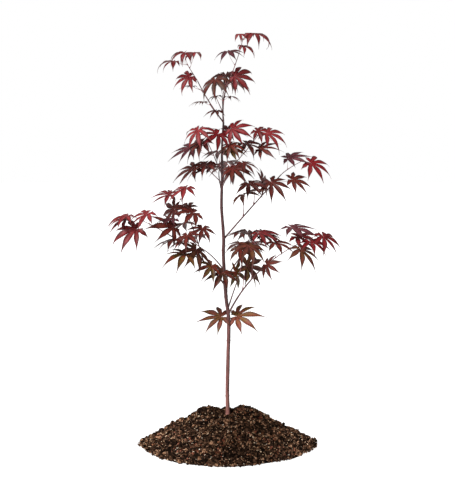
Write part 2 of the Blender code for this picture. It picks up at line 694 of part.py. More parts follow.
def heap_share(x, y):
    """Share of the way from the heap's middle to its foot: oval before it, a wedge behind."""
    across, away = np.abs(x) / HEAP_SIDE, (y - HEAP_MIDDLE) / HEAP_DEPTH
    behind = across**HEAP_WEDGE + (np.maximum(away, 0) / HEAP_BACK) ** HEAP_WEDGE
    return np.where(away > 0, behind ** (1 / HEAP_WEDGE), np.hypot(across, away))


def heap_edge(angle):
    """Point on the heap's ragged foot at each angle about the heap's middle."""
    waves = sum(size * np.cos(count * angle + start) for size, count, start in HEAP_WAVES)
    x, y = np.cos(angle), np.sin(angle)
    reach = (1 + waves) / heap_share(x, HEAP_MIDDLE + y)
    return reach * x, HEAP_MIDDLE + reach * y


def heap_top(x, y, lumps):
    """Height of the heap: a rounded cone, seeded lumps, and a bank down to the trunk's seat."""
    height = HEAP_HEIGHT * (1 - np.clip(heap_share(x, y), 0, 1) ** HEAP_POWER)
    for lump_x, lump_y, size, rise in lumps:
        height += rise * np.exp(-((x - lump_x) ** 2 + (y - lump_y) ** 2) / size**2)
    bank = np.clip((np.hypot(x, y) - SEAT_RADIUS) / (SEAT_BANK - SEAT_RADIUS), 0, 1)
    bank = bank * bank * (3 - 2 * bank)
    height = SEAT_HEIGHT + (height - SEAT_HEIGHT) * bank
    return np.maximum(height, HEAP_LIP)


def plan_lumps():
    """The humps of the ridge behind the trunk, and seeded lumps, as (x, y, width, rise)."""
    dice = random.Random("heap")
    lumps = list(HEAP_HUMPS)
    for _ in range(HEAP_LUMPS):
        reach = math.sqrt(dice.random())
        turn = dice.uniform(0, 2 * math.pi)
        lumps.append((HEAP_SIDE * reach * math.cos(turn),
                      HEAP_MIDDLE + HEAP_DEPTH * reach * math.sin(turn),
                      dice.uniform(*HEAP_LUMP_SIZE), dice.uniform(*HEAP_LUMP_HEIGHT)))
    return lumps


def build_heap(surface):
    """Soil heap: rings of points from the seat to the foot, a low lip and a flat underside."""
    lumps = plan_lumps()
    angles = 2 * np.pi * np.arange(HEAP_SPOKES) / HEAP_SPOKES
    seat_x, seat_y = SEAT_RADIUS * np.cos(angles), SEAT_RADIUS * np.sin(angles)
    edge_x, edge_y = heap_edge(angles)
    points = []
    for ring in range(HEAP_RINGS):
        share = ring / (HEAP_RINGS - 1)
        x = seat_x + (edge_x - seat_x) * share
        y = seat_y + (edge_y - seat_y) * share
        top = heap_top(x, y, lumps) if ring else np.full(HEAP_SPOKES, SEAT_HEIGHT)
        top = np.full(HEAP_SPOKES, HEAP_LIP) if share == 1 else top
        points.append(np.stack((x, y, top), axis=1))
    points.append(np.stack((x, y, np.zeros(HEAP_SPOKES)), axis=1))
    rings = len(points)
    points = np.vstack(points + [[(0.0, 0.0, SEAT_HEIGHT)], [(0.0, 0.0, 0.0)]])
    seat = len(points) - 2
    under = seat + 1
    last = (rings - 1) * HEAP_SPOKES
    faces = []
    for k in range(HEAP_SPOKES):
        j = (k + 1) % HEAP_SPOKES
        faces.append((seat, k, j))
        faces.append((under, last + j, last + k))
        for ring in range(0, last, HEAP_SPOKES):
            faces.append((ring + k, ring + HEAP_SPOKES + k, ring + HEAP_SPOKES + j))
            faces.append((ring + k, ring + HEAP_SPOKES + j, ring + j))
    return add_object("root_ball", points, faces, surface)


def main():
    for old in list(bpy.data.objects):
        bpy.data.objects.remove(old)
    limbs = plan_limbs()
    sprays = plan_sprays(limbs)
    build_heap(material("potting_soil", SOIL, 0.95))
    for name in limbs:
        build_limb(name, limbs, material(f"bark_{name}", BARK, 0.6))
    for name, (stem, leaves) in sprays.items():
        tint = SPRAYS[name].tints[-1]
        build_spray(name, stem, leaves, limbs, material(f"leaf_{name}", LEAF_TINTS[tint], 0.55))


main()
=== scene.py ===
"""Looks of a young red Japanese maple, one metre tall, standing in a heap of potting soil.

The limbs, stems, petioles and leaves are worked out from the same named sizes and the same
seeded rule as the solids, so that every detailed leaf lies where its solid lies. Z is up, the
ground is z = 0 and the viewer's side is -Y. Bearings are read from above, +X is 0 degrees.
"""

import json
import math
import random
from collections import namedtuple
from functools import partial
from itertools import combinations, product

import bpy
import numpy as np
from mathutils.bvhtree import BVHTree
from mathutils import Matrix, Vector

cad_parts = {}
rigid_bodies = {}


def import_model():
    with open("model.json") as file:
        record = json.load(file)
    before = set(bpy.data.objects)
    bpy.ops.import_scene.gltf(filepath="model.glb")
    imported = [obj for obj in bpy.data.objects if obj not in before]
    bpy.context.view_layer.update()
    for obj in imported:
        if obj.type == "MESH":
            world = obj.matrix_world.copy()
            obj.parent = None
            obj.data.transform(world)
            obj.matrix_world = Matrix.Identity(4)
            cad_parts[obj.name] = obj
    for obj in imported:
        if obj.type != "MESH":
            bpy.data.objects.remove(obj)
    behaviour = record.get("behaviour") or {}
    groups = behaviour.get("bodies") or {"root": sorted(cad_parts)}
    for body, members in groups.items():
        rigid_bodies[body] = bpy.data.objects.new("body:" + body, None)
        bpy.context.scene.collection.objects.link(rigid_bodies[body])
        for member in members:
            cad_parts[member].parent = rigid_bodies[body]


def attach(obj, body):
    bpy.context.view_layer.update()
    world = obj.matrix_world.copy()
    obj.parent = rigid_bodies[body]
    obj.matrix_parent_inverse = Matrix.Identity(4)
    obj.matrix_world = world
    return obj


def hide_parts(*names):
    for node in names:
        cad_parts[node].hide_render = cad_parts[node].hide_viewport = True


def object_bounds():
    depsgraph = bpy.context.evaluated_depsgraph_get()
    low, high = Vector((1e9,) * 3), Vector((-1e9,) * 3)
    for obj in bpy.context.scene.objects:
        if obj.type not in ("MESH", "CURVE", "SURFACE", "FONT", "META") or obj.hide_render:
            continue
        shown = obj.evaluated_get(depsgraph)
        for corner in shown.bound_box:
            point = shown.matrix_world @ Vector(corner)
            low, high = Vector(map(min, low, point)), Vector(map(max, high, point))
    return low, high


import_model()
cad_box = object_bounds()

UP = np.array((0.0, 0.0, 1.0))
# a tube whose start rises more steeply than this sine is squared up on +Y, not on UP
UPRIGHT = 0.9

MM = 0.001

# ------------------------------------------------------------ camera and studio
CAMERA_PLACE = (0.0, -2.4, 0.81)
CAMERA_TILT = 82.1
CAMERA_LENS, CAMERA_SENSOR = 71.28, 36.0
# surroundings by the sine of the height looked at: a white wall, and a dimmer ceiling
SURROUNDINGS = ((0.12, "#FFFFFF"), (0.55, "#A0A0A0"), (1.0, "#8A8A8A"))
FLOOR_GLOW, FLOOR_REACH = 0.85, 9.0
# key light: strength, width in degrees, and turn from straight down
KEY_LIGHT, KEY_SPREAD = 4.2, 24.0
KEY_TURN = (40.0, 0.0, -38.0)

# ------------------------------------------------------------ the plant's named sizes
# Gap kept between neighbouring bodies, and the room a leaf must find round itself.
GAP = 0.0003
LEAF_ROOM = 0.0005

# trunk: centre line (x, y, z) from the ground cut to the fork, radius at (height, radius)
TRUNK_LINE = (
    (0.0013, 0.0, 0.0603), (-0.0003, 0.0, 0.12), (0.0012, 0.0, 0.20), (0.0030, 0.0, 0.30),
    (-0.0042, 0.0, 0.365), (-0.0098, 0.0, 0.46), (-0.0095, 0.0, 0.51), (-0.0145, 0.002, 0.585),
    (-0.0128, 0.002, 0.66), (-0.0133, 0.0, 0.72), (-0.0096, 0.0, 0.789),
)
TRUNK_GIRTH = (
    (0.0603, 0.0068), (0.066, 0.0060), (0.078, 0.0053), (0.10, 0.0049), (0.30, 0.0046),
    (0.45, 0.0043), (0.60, 0.0036), (0.70, 0.0029), (0.789, 0.0023),
)
TRUNK_SIDES = 10
TRUNK_RINGS = 28
# the first girths belong to the root flare; above them rings are even again after a gap
FLARE_GIRTHS = 4
FLARE_GAP = 0.01

# boughs: where each leaves its parent (height on the trunk in metres, or share of a bough's
# length), bearing and rise at root and tip in degrees, length, radius at root and tip
Bough = namedtuple("Bough", "parent at bearing rise length girth")
BOUGHS = {
    "low_right": Bough("trunk", 0.316, (-24, -20), (64, 39), 0.180, (0.0024, 0.0014)),
    "low_front": Bough("trunk", 0.328, (-30, -60), (72, 60), 0.105, (0.0019, 0.0012)),
    "low_left": Bough("trunk", 0.389, (205, 192), (53, 31), 0.207, (0.0024, 0.0013)),
    "low_left_riser": Bough("low_left", 0.42, (140, 150), (72, 63), 0.102, (0.0016, 0.0011)),
    "low_back": Bough("trunk", 0.40, (52, 62), (44, 26), 0.105, (0.0019, 0.0012)),
    "low_back_left": Bough("trunk", 0.425, (128, 140), (40, 20), 0.100, (0.0018, 0.0012)),
    "mid_right": Bough("trunk", 0.504, (26, 18), (45, 45), 0.220, (0.0022, 0.0013)),
    "mid_back": Bough("trunk", 0.62, (105, 85), (44, 20), 0.095, (0.0017, 0.0011)),
    "mid_front": Bough("trunk", 0.622, (-70, -95), (54, 40), 0.060, (0.0016, 0.0011)),
    "high_left": Bough("trunk", 0.661, (205, 200), (62, 68), 0.050, (0.0015, 0.0011)),
    "high_right": Bough("trunk", 0.655, (28, 24), (43, 44), 0.062, (0.0016, 0.0011)),
    "leader": Bough("trunk", 1.0, (10, -5), (97, 70), 0.092, (0.0021, 0.0014)),
    "top_left": Bough("trunk", 0.787, (160, 150), (50, 60), 0.122, (0.0017, 0.0011)),
    "top_back": Bough("leader", 0.34, (100, 75), (56, 38), 0.058, (0.0014, 0.0010)),
}
BOUGH_SIDES = 8
BOUGH_RINGS = 9
BOUGH_TAPER = 0.8

# sprays: root on its limb (1 is the limb's tip), bearing and rise of the stem at root and tip,
# stem length, bearing and tilt of the blades' faces, leaf length, tint of each node's leaves,
# and the nodes (share of the stem, turn round it, petiole in mm, leaves)
Spray = namedtuple("Spray", "limb at bearing rise length facing tilt leaf tints nodes")
SPRAYS = {
    "stem_pair": Spray(
        "trunk", 0.276, (90, 90), (60, 60), 0.005, -90, 34, 0.070, ("russet",),
        ((1, 25, 29, 1), (1, 155, 29, 1))),
    "low_right_tip": Spray(
        "low_right", 1, (-20, -8), (39, 22), 0.128, (-62, -45, -70, -62),
        (28, 34, 8, 30), (0.060, 0.068, 0.068, 0.058),
        ("maroon", "brown", "purple", "red", "bright", "bright"),
        ((0.10, 84, 38, 1), (0.44, -35, 40, 1), (0.44, 92, 50, 1), (0.52, 130, 30, 1),
         (0.76, -30, 18, 1), (1, -20, 34, 1))),
    "low_right_upper": Spray(
        "low_right", 0.62, (-20, 20), (88, 84), 0.104, -80, 28, 0.058, ("maroon", "red"),
        ((0.8, -60, 34, 1), (1, -30, 16, 1))),
    "low_right_side": Spray(
        "low_right", 0.41, (-60, -80), (80, 70), 0.024, -80, 46, 0.064, ("brown", "olive"),
        ((1, 60, 30, 1), (0.8, 150, 30, 1))),
    "low_right_end": Spray(
        "low_right", 0.85, (-50, -60), (20, 0), 0.012, -125, 50, 0.046, ("maroon",),
        ((1, 60, 12, 1),)),
    "low_front_tip": Spray(
        "low_front", 1, (-60, -40), (74, 60), 0.070, (-85, -40, -85), (34, 26, 12),
        (0.064, 0.054, 0.050), ("bronze", "brown", "maroon"),
        ((0.6, 90, 30, 1), (1, -40, 32, 1), (1, 70, 44, 1))),
    "stem_front": Spray(
        "trunk", 0.401, (-75, -60), (50, 40), 0.014, -95, 46, 0.062, ("bronze", "olive"),
        ((1, 0, 20, 1), (1, 180, 18, 1))),
    "low_left_tip": Spray(
        "low_left", 1, (180, 165), (30, 22), 0.086, -122, (26, 44, 24, 20),
        (0.064, 0.072, 0.060, 0.060), ("red",),
        ((0.46, 95, 24, 1), (0.42, 246, 40, 1), (1, 200, 20, 1), (1, -60, 24, 1))),
    "low_left_mid": Spray(
        "low_left", 0.74, (-110, -110), (60, 40), 0.012, -110, (34, 34, 34, 12),
        (0.072, 0.062, 0.058, 0.046), ("maroon", "maroon", "maroon", "purple"),
        ((1, 55, 34, 1), (1, -20, 18, 1), (1, 180, 26, 1), (1, 50, 52, 1))),
    "low_left_low": Spray(
        "low_left", 0.54, (-110, -100), (40, 20), 0.014, (-120, -60), (54, 44),
        (0.076, 0.064), ("olive", "brown"), ((1, 20, 20, 1), (0.9, 150, 10, 1))),
    "low_left_root": Spray(
        "low_left", 0.24, (-120, -90), (60, 50), 0.014, -95, 42, 0.056,
        ("olive",), ((1, 0, 14, 1),)),
    "riser_low": Spray(
        "low_left_riser", 0.62, (-90, -90), (60, 50), 0.010, -80, 30, 0.054,
        ("maroon",), ((1, 190, 24, 1),)),
    "riser_right": Spray(
        "low_left_riser", 0.90, (-20, -30), (64, 50), 0.018, -75, 36, 0.064,
        ("maroon",), ((1, 90, 16, 1),)),
    "riser_tip": Spray(
        "low_left_riser", 1, (150, 165), (62, 68), 0.058, -105, (28, 28, 24), 0.058,
        ("maroon", "maroon", "red"), ((0.3, -150, 28, 1), (0.3, 0, 26, 1), (1, 100, 30, 2))),
    "low_back_tip": Spray(
        "low_back", 1, (75, 70), (30, 20), 0.080, 80, 16, 0.058, ("maroon",),
        ((0.3, 10, 28, 2), (0.65, 100, 28, 2), (1, 10, 28, 2))),
    "low_back_left_tip": Spray(
        "low_back_left", 1, (140, 125), (28, 18), 0.070, 130, 18, 0.056, ("maroon",),
        ((0.3, 10, 28, 2), (1, 80, 28, 2))),
    "mid_right_low": Spray(
        "mid_right", 0.34, (-40, -80), (88, 80), 0.046, -150, 30, 0.064,
        ("brown",), ((1, -70, 18, 1),)),
    "mid_right_mid": Spray(
        "mid_right", 0.52, (-60, -60), (82, 78), 0.036, -85, 38, 0.058,
        ("maroon",), ((0.9, 0, 28, 2),)),
    "mid_right_end": Spray(
        "mid_right", 0.79, (-60, -60), (40, 20), 0.020, -85, 34, 0.062,
        ("maroon",), ((1, 0, 16, 1),)),
    "mid_right_fore": Spray(
        "mid_right", 0.86, (-40, -50), (20, 0), 0.016, -75, 32, 0.060,
        ("maroon",), ((1, 180, 30, 1),)),
    "mid_right_tip": Spray(
        "mid_right", 1, (14, 0), (38, 24), 0.062, (-105, -68), (20, 36), (0.060, 0.068),
        ("purple", "bright"), ((0.28, 105, 28, 1), (1, -50, 24, 1))),
    "mid_back_tip": Spray(
        "mid_back", 1, (90, 90), (18, 8), 0.070, 90, 16, 0.058, ("maroon",),
        ((0.3, 10, 28, 2), (1, 100, 28, 2))),
    "high_left_low": Spray(
        "trunk", 0.640, (168, 158), (46, 36), 0.054, -110, (30, 34, 34), 0.060,
        ("maroon",), ((0.45, 0, 30, 1), (0.6, 150, 32, 1), (1, -120, 24, 1))),
    "high_left_tip": Spray(
        "high_left", 1, (195, 205), (64, 66), 0.058, -110, (32, 32, 50), (0.066, 0.060),
        ("purple", "maroon", "red"),
        ((0.02, -78, 50, 1), (0.55, -100, 16, 1), (1, -130, 32, 1))),
    "high_right_tip": Spray(
        "high_right", 1, (18, 8), (46, 54), 0.080, (-75, -100, -75), (28, 34, 28),
        (0.056, 0.058, 0.046, 0.060), ("maroon", "maroon", "red"),
        ((0.28, 45, 26, 1), (0.30, -50, 36, 1), (0.90, 60, 16, 1), (1, -60, 18, 1))),
    "mid_front_tip": Spray(
        "mid_front", 1, (-85, -70), (38, 26), 0.044, -88, 34, (0.054, 0.052, 0.046),
        ("maroon",), ((0.05, 190, 22, 1), (0.5, 215, 24, 1), (1, 205, 44, 1))),
    "high_front_mid": Spray(
        "trunk", 0.706, (-50, -30), (60, 50), 0.024, -85, 32, 0.048, ("bronze", "olive"),
        ((1, -45, 16, 1), (0.45, -120, 14, 1))),
    "high_front": Spray(
        "trunk", 0.714, (-80, -70), (75, 60), 0.034, (-90, -120, -90), (42, 48, 38),
        (0.062, 0.056), ("bright",), ((0.7, 0, 20, 1), (1, 180, 24, 1), (0.5, 120, 30, 1))),
    "top_inner": Spray(
        "leader", 0.22, (180, 180), (66, 66), 0.042, -110, 52, 0.062, ("bronze",),
        ((1, 159, 52, 1),)),
    "top_back_tip": Spray(
        "top_back", 1, (75, 90), (40, 20), 0.034, 85, 20, 0.052, ("maroon",),
        ((0.5, 0, 26, 2), (1, 90, 24, 1))),
    "leader_low": Spray(
        "leader", 0.44, (-90, -90), (60, 60), 0.006, -90, 4, 0.032, ("maroon",),
        ((1, 0, 16, 2),)),
    "leader_mid": Spray(
        "leader", 0.94, (-60, -60), (60, 60), 0.008, -80, 50, 0.058, ("red",),
        ((1, 180, 20, 1),)),
    "top_left_low": Spray(
        "top_left", 0.20, (-120, -170), (30, 60), 0.030, -100, 24, 0.036,
        ("maroon",), ((0.2, 180, 8, 1), (1, 0, 20, 1))),
    "top_left_mid": Spray(
        "top_left", 0.74, (-150, -165), (40, 20), 0.010, -100, 6, 0.034, ("purple",),
        ((1, 0, 20, 1),)),
    "top_left_tip": Spray(
        "top_left", 1, (165, 190), (56, 60), 0.046, -100, (34, 14), 0.050, ("red",),
        ((0.05, -140, 18, 1), (0.95, -88, 33, 1), (0.74, 70, 42, 1), (1, 175, 42, 1))),
    "leader_tip": Spray(
        "leader", 1, (-20, -30), (64, 74), 0.110, (-105, -75), (6, 14, 10, 14),
        (0.052, 0.046, 0.060, 0.032), ("purple", "red"),
        ((0.41, 75, 40, 1), (0.76, 180, 14, 1), (1, -88, 32, 1), (1, 90, 17, 1))),
}
STEM_GIRTH = (0.0011, 0.0007)
STEM_SIDES = 5
STEM_RINGS = 5
# a stem's root is left out of the room test up to this many times its depth in the limb
ROOT_SPREAD = 1.15
PETIOLE_GIRTH = (0.00055, 0.00036)
PETIOLE_SIDES = 3
PETIOLE_SAG = 0.06
# how far a petiole runs on inside its leaf, as a share of the leaf's length
PETIOLE_SINK = 0.012

# ---- leaf: each lobe's angle from the middle lobe and its length as a share of the leaf's
LOBES = ((-122, 0.46), (-78, 0.78), (-38, 0.95), (0, 1.0), (38, 0.95), (78, 0.78), (122, 0.46))
# where a lobe is widest, as a share of its length; lobes shorter than HEEL_LOBE have no flanks
LOBE_WAIST = 0.46
HEEL_LOBE = 0.5
# as shares of the leaf's length: half the width of the middle lobe, reach of the notches
# between the lobes and of the heel behind the petiole, and thickness at the hub
LOBE_HALF_WIDTH = 0.105
NOTCH_REACH = 0.17
HEEL_REACH = 0.05
LEAF_THICKNESS = 0.018
# how far the lobe tips hang below the blade, low on the plant and at its top
DROOP_LOW, DROOP_TOP = 0.20, 0.62

# ---- seeded variation of each leaf: turn and tilt in degrees, petiole and leaf size as shares
TURN_SPREAD = 22.0
TILT_SPREAD = 13.0
PETIOLE_SPREAD = 0.12
SIZE_SPREAD = 0.08
# tries at finding a leaf a free place; each try swings its petiole further, in degrees, and
# makes the petiole longer and the leaf smaller by these shares
TRIES = 24
SWING = 7.0
PETIOLE_STRETCH = 0.02
LEAF_SHRINK = 0.004

# ---- how leaves are set: a petiole's lean along the stem, outward and up; a blade's pull away
# from the trunk, along its petiole and to its spray's light; how far its middle lobe dips
PETIOLE_LEAN = (0.6, 0.8, 0.15)
BLADE_PULL = (0.8, 0.8, 0.25)
BLADE_DIP = 0.15
# heights between which the leaves pass from the low droop to the top droop
DROOP_HEIGHTS = (0.7, 1.0)
# last share of a stem at which a petiole may leave it
LAST_NODE = 0.97

# ---- soil heap: half an oval before the trunk and a blunt wedge behind it, whose depth is a
# share of the oval's and whose power is 2 for an oval and 1 for a straight-sided wedge
HEAP_SIDE, HEAP_DEPTH = 0.216, 0.190
HEAP_MIDDLE = -0.020
HEAP_BACK = 0.60
HEAP_WEDGE = 1.2
HEAP_HEIGHT = 0.065
# slope: 1 would be a straight-sided cone, more rounds the top
HEAP_POWER = 2.1
HEAP_LIP = 0.004
HEAP_LUMPS = 90
HEAP_LUMP_SIZE = (0.010, 0.026)
HEAP_LUMP_HEIGHT = (-0.003, 0.0055)
# humps of the ridge behind the trunk: x, y, width, rise
HEAP_HUMPS = (
    (-0.036, 0.034, 0.030, 0.017), (0.044, 0.030, 0.036, 0.024),
    (-0.076, 0.022, 0.030, 0.019), (0.088, 0.018, 0.034, 0.013),
)
# waves in the foot's outline: size as a share of its reach, waves a turn, where they start
HEAP_WAVES = ((0.012, 3, 0.6), (0.010, 5, 2.0), (0.008, 9, 1.1), (0.006, 14, 4.0))
# flat seat under the trunk's foot, and the radius at which its bank ends
SEAT_HEIGHT = 0.060
SEAT_RADIUS = 0.0095
SEAT_BANK = 0.026

# ------------------------------------------------------------ sizes of the finer forms
# bark: points round a limb, step along it and its fewest stations, the direction that the
# trunk's rings start from, and waves (share of the radius, waves round, waves a metre, start)
BARK_SIDES, BOUGH_BARK_SIDES = 28, 18
BARK_STEP, BARK_LEAST = 0.0016, 8
TRUNK_SEAM = np.array((1.0, 0.2, 0.0))
BARK_WAVES = ((0.020, 2, 9, 0.4), (0.014, 3, -17, 2.1), (0.010, 5, 31, 4.0),
              (0.007, 7, -46, 1.2), (0.006, 4, 83, 5.1), (0.005, 9, 120, 3.3))
# old nodes: ring and scars as a share of the radius and their width along the limb, how far
# the scars lie below the ring, and the power of a cosine that narrows them round the limb
NODE_RING, NODE_RING_WIDTH = 0.07, 0.0011
NODE_SCAR, NODE_SCAR_WIDTH = 0.13, 0.0022
NODE_SCAR_DROP, NODE_SCAR_POWER = 0.0012, 6
# spacing of the nodes and place of the first, bare end of the limb, range of each spacing as
# a share, and of each turn beyond a quarter, in radians
TRUNK_NODES, BOUGH_NODES = (0.062, 0.05), (0.034, 0.022)
NODE_END = 0.004
NODE_SPACING, NODE_TURN = (0.75, 1.25), (-0.2, 0.2)
# collar at a limb's root: share of the radius, and the distance over which it fades
TRUNK_COLLAR, BOUGH_COLLAR, NO_COLLAR = (0.05, 0.004), (0.55, 0.0042), (0.0, 0.004)
# rounded tip: its length as a share of its radius, and the least share of it that is left
TIP_ROUND, TIP_FLAT = 0.9, 0.12
# twig: swelling at its nodes and collar at its root, each as a share of the radius with its
# width, how oval it is, and how far the oval turns from root to tip, in radians
TWIG_SIDES, TWIG_STATIONS = 8, 22
TWIG_NODE, TWIG_NODE_WIDTH = 0.35, 0.0016
TWIG_COLLAR, TWIG_COLLAR_WIDTH = 0.8, 0.003
TWIG_OVAL, TWIG_TWIST = 0.05, 9
# petiole: swellings (which end, share of the radius, width as a share of the length), and its
# girth as a share of its solid's
PETIOLE_ROUND, PETIOLE_STATIONS = 6, 12
PETIOLE_ENDS = ((0, 0.9, 0.07), (1, 0.35, 0.05))
PETIOLE_SHARE = 0.92
# buds: the radius is a least share plus the power of a sine, whose half wave is read from a
# start over a span; the rings start square to the seam's direction
BUD_SIDES, BUD_STATIONS = 6, 7
BUD_LEAST, BUD_WAVE, BUD_POWER = 0.15, (0.18, 0.80), 0.8
BUD_SEAM = (0.3, 0.5, 0.8)
# length and radius, lean to the side, and place: down from a stem's tip, or out of the stem
# and up along it
END_BUD, END_BUD_LEAN, END_BUD_SINK = (0.0034, 0.00085), 0.35, 0.0008
AXIL_BUD, AXIL_BUD_LEAN, AXIL_BUD_PLACE = (0.0026, 0.0007), 0.6, (0.0008, 0.0006)

# leaf blade: stations in the web round the hub and in a lobe, and points across a lobe; as
# shares of the leaf's length, half the width of the middle lobe, depth of its fold and
# thickness of its rib; where a lobe is widest, how quickly it narrows, how deep its teeth are
WEB_STATIONS, LOBE_STATIONS = 4, 25
ACROSS = np.array((1.0, 0.5, 0.0, -0.5, -1.0))
LOBE_WIDTH = 0.113
LOBE_WIDEST = 0.29
LOBE_NARROWING = 2.5
TIP_WIDTH = 0.007
LOBE_FOLD, FOLD_START = 0.30, 0.15
TOOTH_DEPTH = 0.13
# span of a lobe that carries teeth, and how far a tooth leans forward, in stations
TEETH_SPAN, TOOTH_LEAN = (0.06, 0.95), 0.4
# rib: size, how it tapers, and its section as shares of its size to the side and up
RIB_SIZE, RIB_TAPER = 0.0055, 1.05
RIB_SECTION = ((1, 0), (0, 0.75), (-1, 0), (0, -0.75))
# the blade's thickness and the share it loses at its margin, and how much of the margin's
# darkening its tip takes
BLADE_THICKNESS, MARGIN_THINNING = 0.0003, 0.45
TIP_DARKENING = 0.9
# bend of a lobe from hub to tip in degrees, at joint heights on the plant; the top's young
# leaves hang like claws
BEND_HEIGHTS = (0.20, 0.70, 0.86, 0.93)
BEND = (40.0, 52.0, 66.0, 108.0)
BEND_POWER, BEND_RANGE = 1.8, (0.8, 1.2)
TINT_BEND = {"purple": 0.5, "maroon": 0.85}
# web between the lobes: its reach, its first station, the angle in degrees that it spans
# beyond the heel lobes, how far along a lobe its edge still counts and the power it fades by
WEB_REACH, WEB_START, HEEL_GAP = 0.215, 0.06, 34.0
WAIST_END, WAIST_POWER = 0.55, 1.5
# how much longer a bent lobe is than a flat one
LOBE_STRETCH = 1.08
# seeded spread from lobe to lobe, and waves of the blade (height, along and across a lobe)
LENGTH_SPREAD, WIDTH_SPREAD, BEND_SPREAD = 0.035, 0.06, 0.16
FOLD_SPREAD, TWIST_SPREAD, SWAY_SPREAD = 0.08, 0.30, 0.05
BLADE_WAVES = (0.04, 12, 3)
LEAF_SEED = 40
# room kept between the highest leaf and the top of the plant's box
TOP_MARGIN = 0.0008

# soil: pitch and height in metres of the heap's roughness, from clods down to grit, and the
# seed of the first; lattice of the noise and its shift
SOIL_ROUGH, SOIL_SEED = ((0.030, 0.0045), (0.013, 0.0032), (0.006, 0.0022)), 7
LATTICE, LATTICE_SHIFT = 97, (31.7, 57.3)
# the roughness falls to its least share as twice the way that is left to where it would end
RIM_STILL, RIM_LEAST = 1.15, 0.3
# rings and spokes of the heap's surface, share of the last ring, and the soil's least height
SOIL_RINGS, SOIL_SPOKES = 118, 330
SOIL_MIDDLE, SOIL_FLOOR = 0.0006, 0.0006
# the heap's rim: share of the foot it reaches, pitch in metres and share of its roughness,
# and its height
RIM_SHARE, RIM_HEIGHT = 0.972, 0.0012
RIM_ROUGH, RIM_SEED = ((0.018, 0.016), (0.006, 0.008)), 3
# the heap's corner at the back: share it is drawn in by, and half its width in radians
BACK_WEAR, BACK_CORNER = 0.13, 0.42
# grains: seed, how many, least and greatest radius, span of the way out they lie in, least and
# greatest stretch of their axes, and how far their corners are pushed, as a share
Grain = namedtuple("Grain", "seed count size span shape jitter")
CHUNKY = (0.7, 1.3)
GRAINS = {
    "clods_dark": Grain(11, 2300, (0.0018, 0.0078), (0.0, 1.0), CHUNKY, 0.26),
    "clods_brown": Grain(12, 1300, (0.0016, 0.0060), (0.0, 1.0), CHUNKY, 0.26),
    "clods_red": Grain(13, 900, (0.0014, 0.0050), (0.1, 0.98), CHUNKY, 0.26),
    "clods_ridge": Grain(14, 320, (0.0030, 0.0095), (0.05, 0.66), CHUNKY, 0.26),
    "clods_rim": Grain(15, 420, (0.0014, 0.0052), (0.93, 1.018), CHUNKY, 0.26),
    "crumbs_dark": Grain(21, 3600, (0.0008, 0.0022), (0.0, 1.018), CHUNKY, 0.18),
    "crumbs_tan": Grain(22, 1500, (0.0007, 0.0019), (0.0, 1.01), CHUNKY, 0.18),
    "perlite": Grain(23, 170, (0.0008, 0.0020), (0.0, 1.0), CHUNKY, 0.18),
    "bark_chips": Grain(31, 420, (0.0020, 0.0048), (0.0, 0.99),
                        ((0.28, 0.28, 0.28), (1.0, 1.0, 1.0)), 0.15),
    "splinters": Grain(33, 300, (0.0026, 0.0062), (0.0, 0.99),
                       ((0.14, 0.22, 0.8), (0.24, 0.34, 1.1)), 0.15),
}
# clods: how far the cube is drawn in and its reach, share of the radius sunk in the soil,
# crease in degrees, and the two powers of the beta spread of their sizes
CLOD_ROUNDING, CLOD_REACH = 0.75, 0.93
CLOD_SINK, CLOD_CREASE = 0.25, 30.0
CLOD_SIZES = (1.2, 2.6)
# the ridge's clods lie behind this line; red bark lies where noise of this pitch is high
RIDGE_LINE = 0.006
RED_PATCH, RED_SEED = 0.055, 9
# radius round the trunk that stays clear, and the least height of a grain
TRUNK_CLEAR, GROUND_GAP = 0.0065, 0.0002
# fibres: seed, how many, span, stations and sides; ranges of length, height over the soil and
# radius, the spread of their bow as a share of the length, and their taper
FIBRE_SEED, FIBRES, FIBRE_SPAN = 32, 170, (0.0, 0.96)
FIBRE_STATIONS, FIBRE_SIDES = 8, 4
FIBRE_LENGTH, FIBRE_LIFT, FIBRE_RADIUS = (0.006, 0.018), (0.0008, 0.003), (0.0002, 0.0004)
FIBRE_BOW, FIBRE_TAPER = 0.5, 1.1

# ------------------------------------------------------------ shades
LEAF_SHADES = {
    # tint: darker and lighter shade and flush of the upper face, shade of the underside
    "brown": ("#452019", "#623024", "#56331C", "#503528"),
    "bronze": ("#3C1E12", "#583420", "#5E1E16", "#4A3428"),
    "olive": ("#46280F", "#665220", "#6A2818", "#52442C"),
    "maroon": ("#45160F", "#63211A", "#562319", "#4C2B25"),
    "purple": ("#451C22", "#643038", "#522428", "#563438"),
    "red": ("#62181C", "#8A2C30", "#742222", "#683432"),
    "bright": ("#5A0A0F", "#7E141A", "#6C1014", "#662A2C"),
    "russet": ("#642F23", "#8C4B3A", "#704F26", "#6E4A3A"),
}
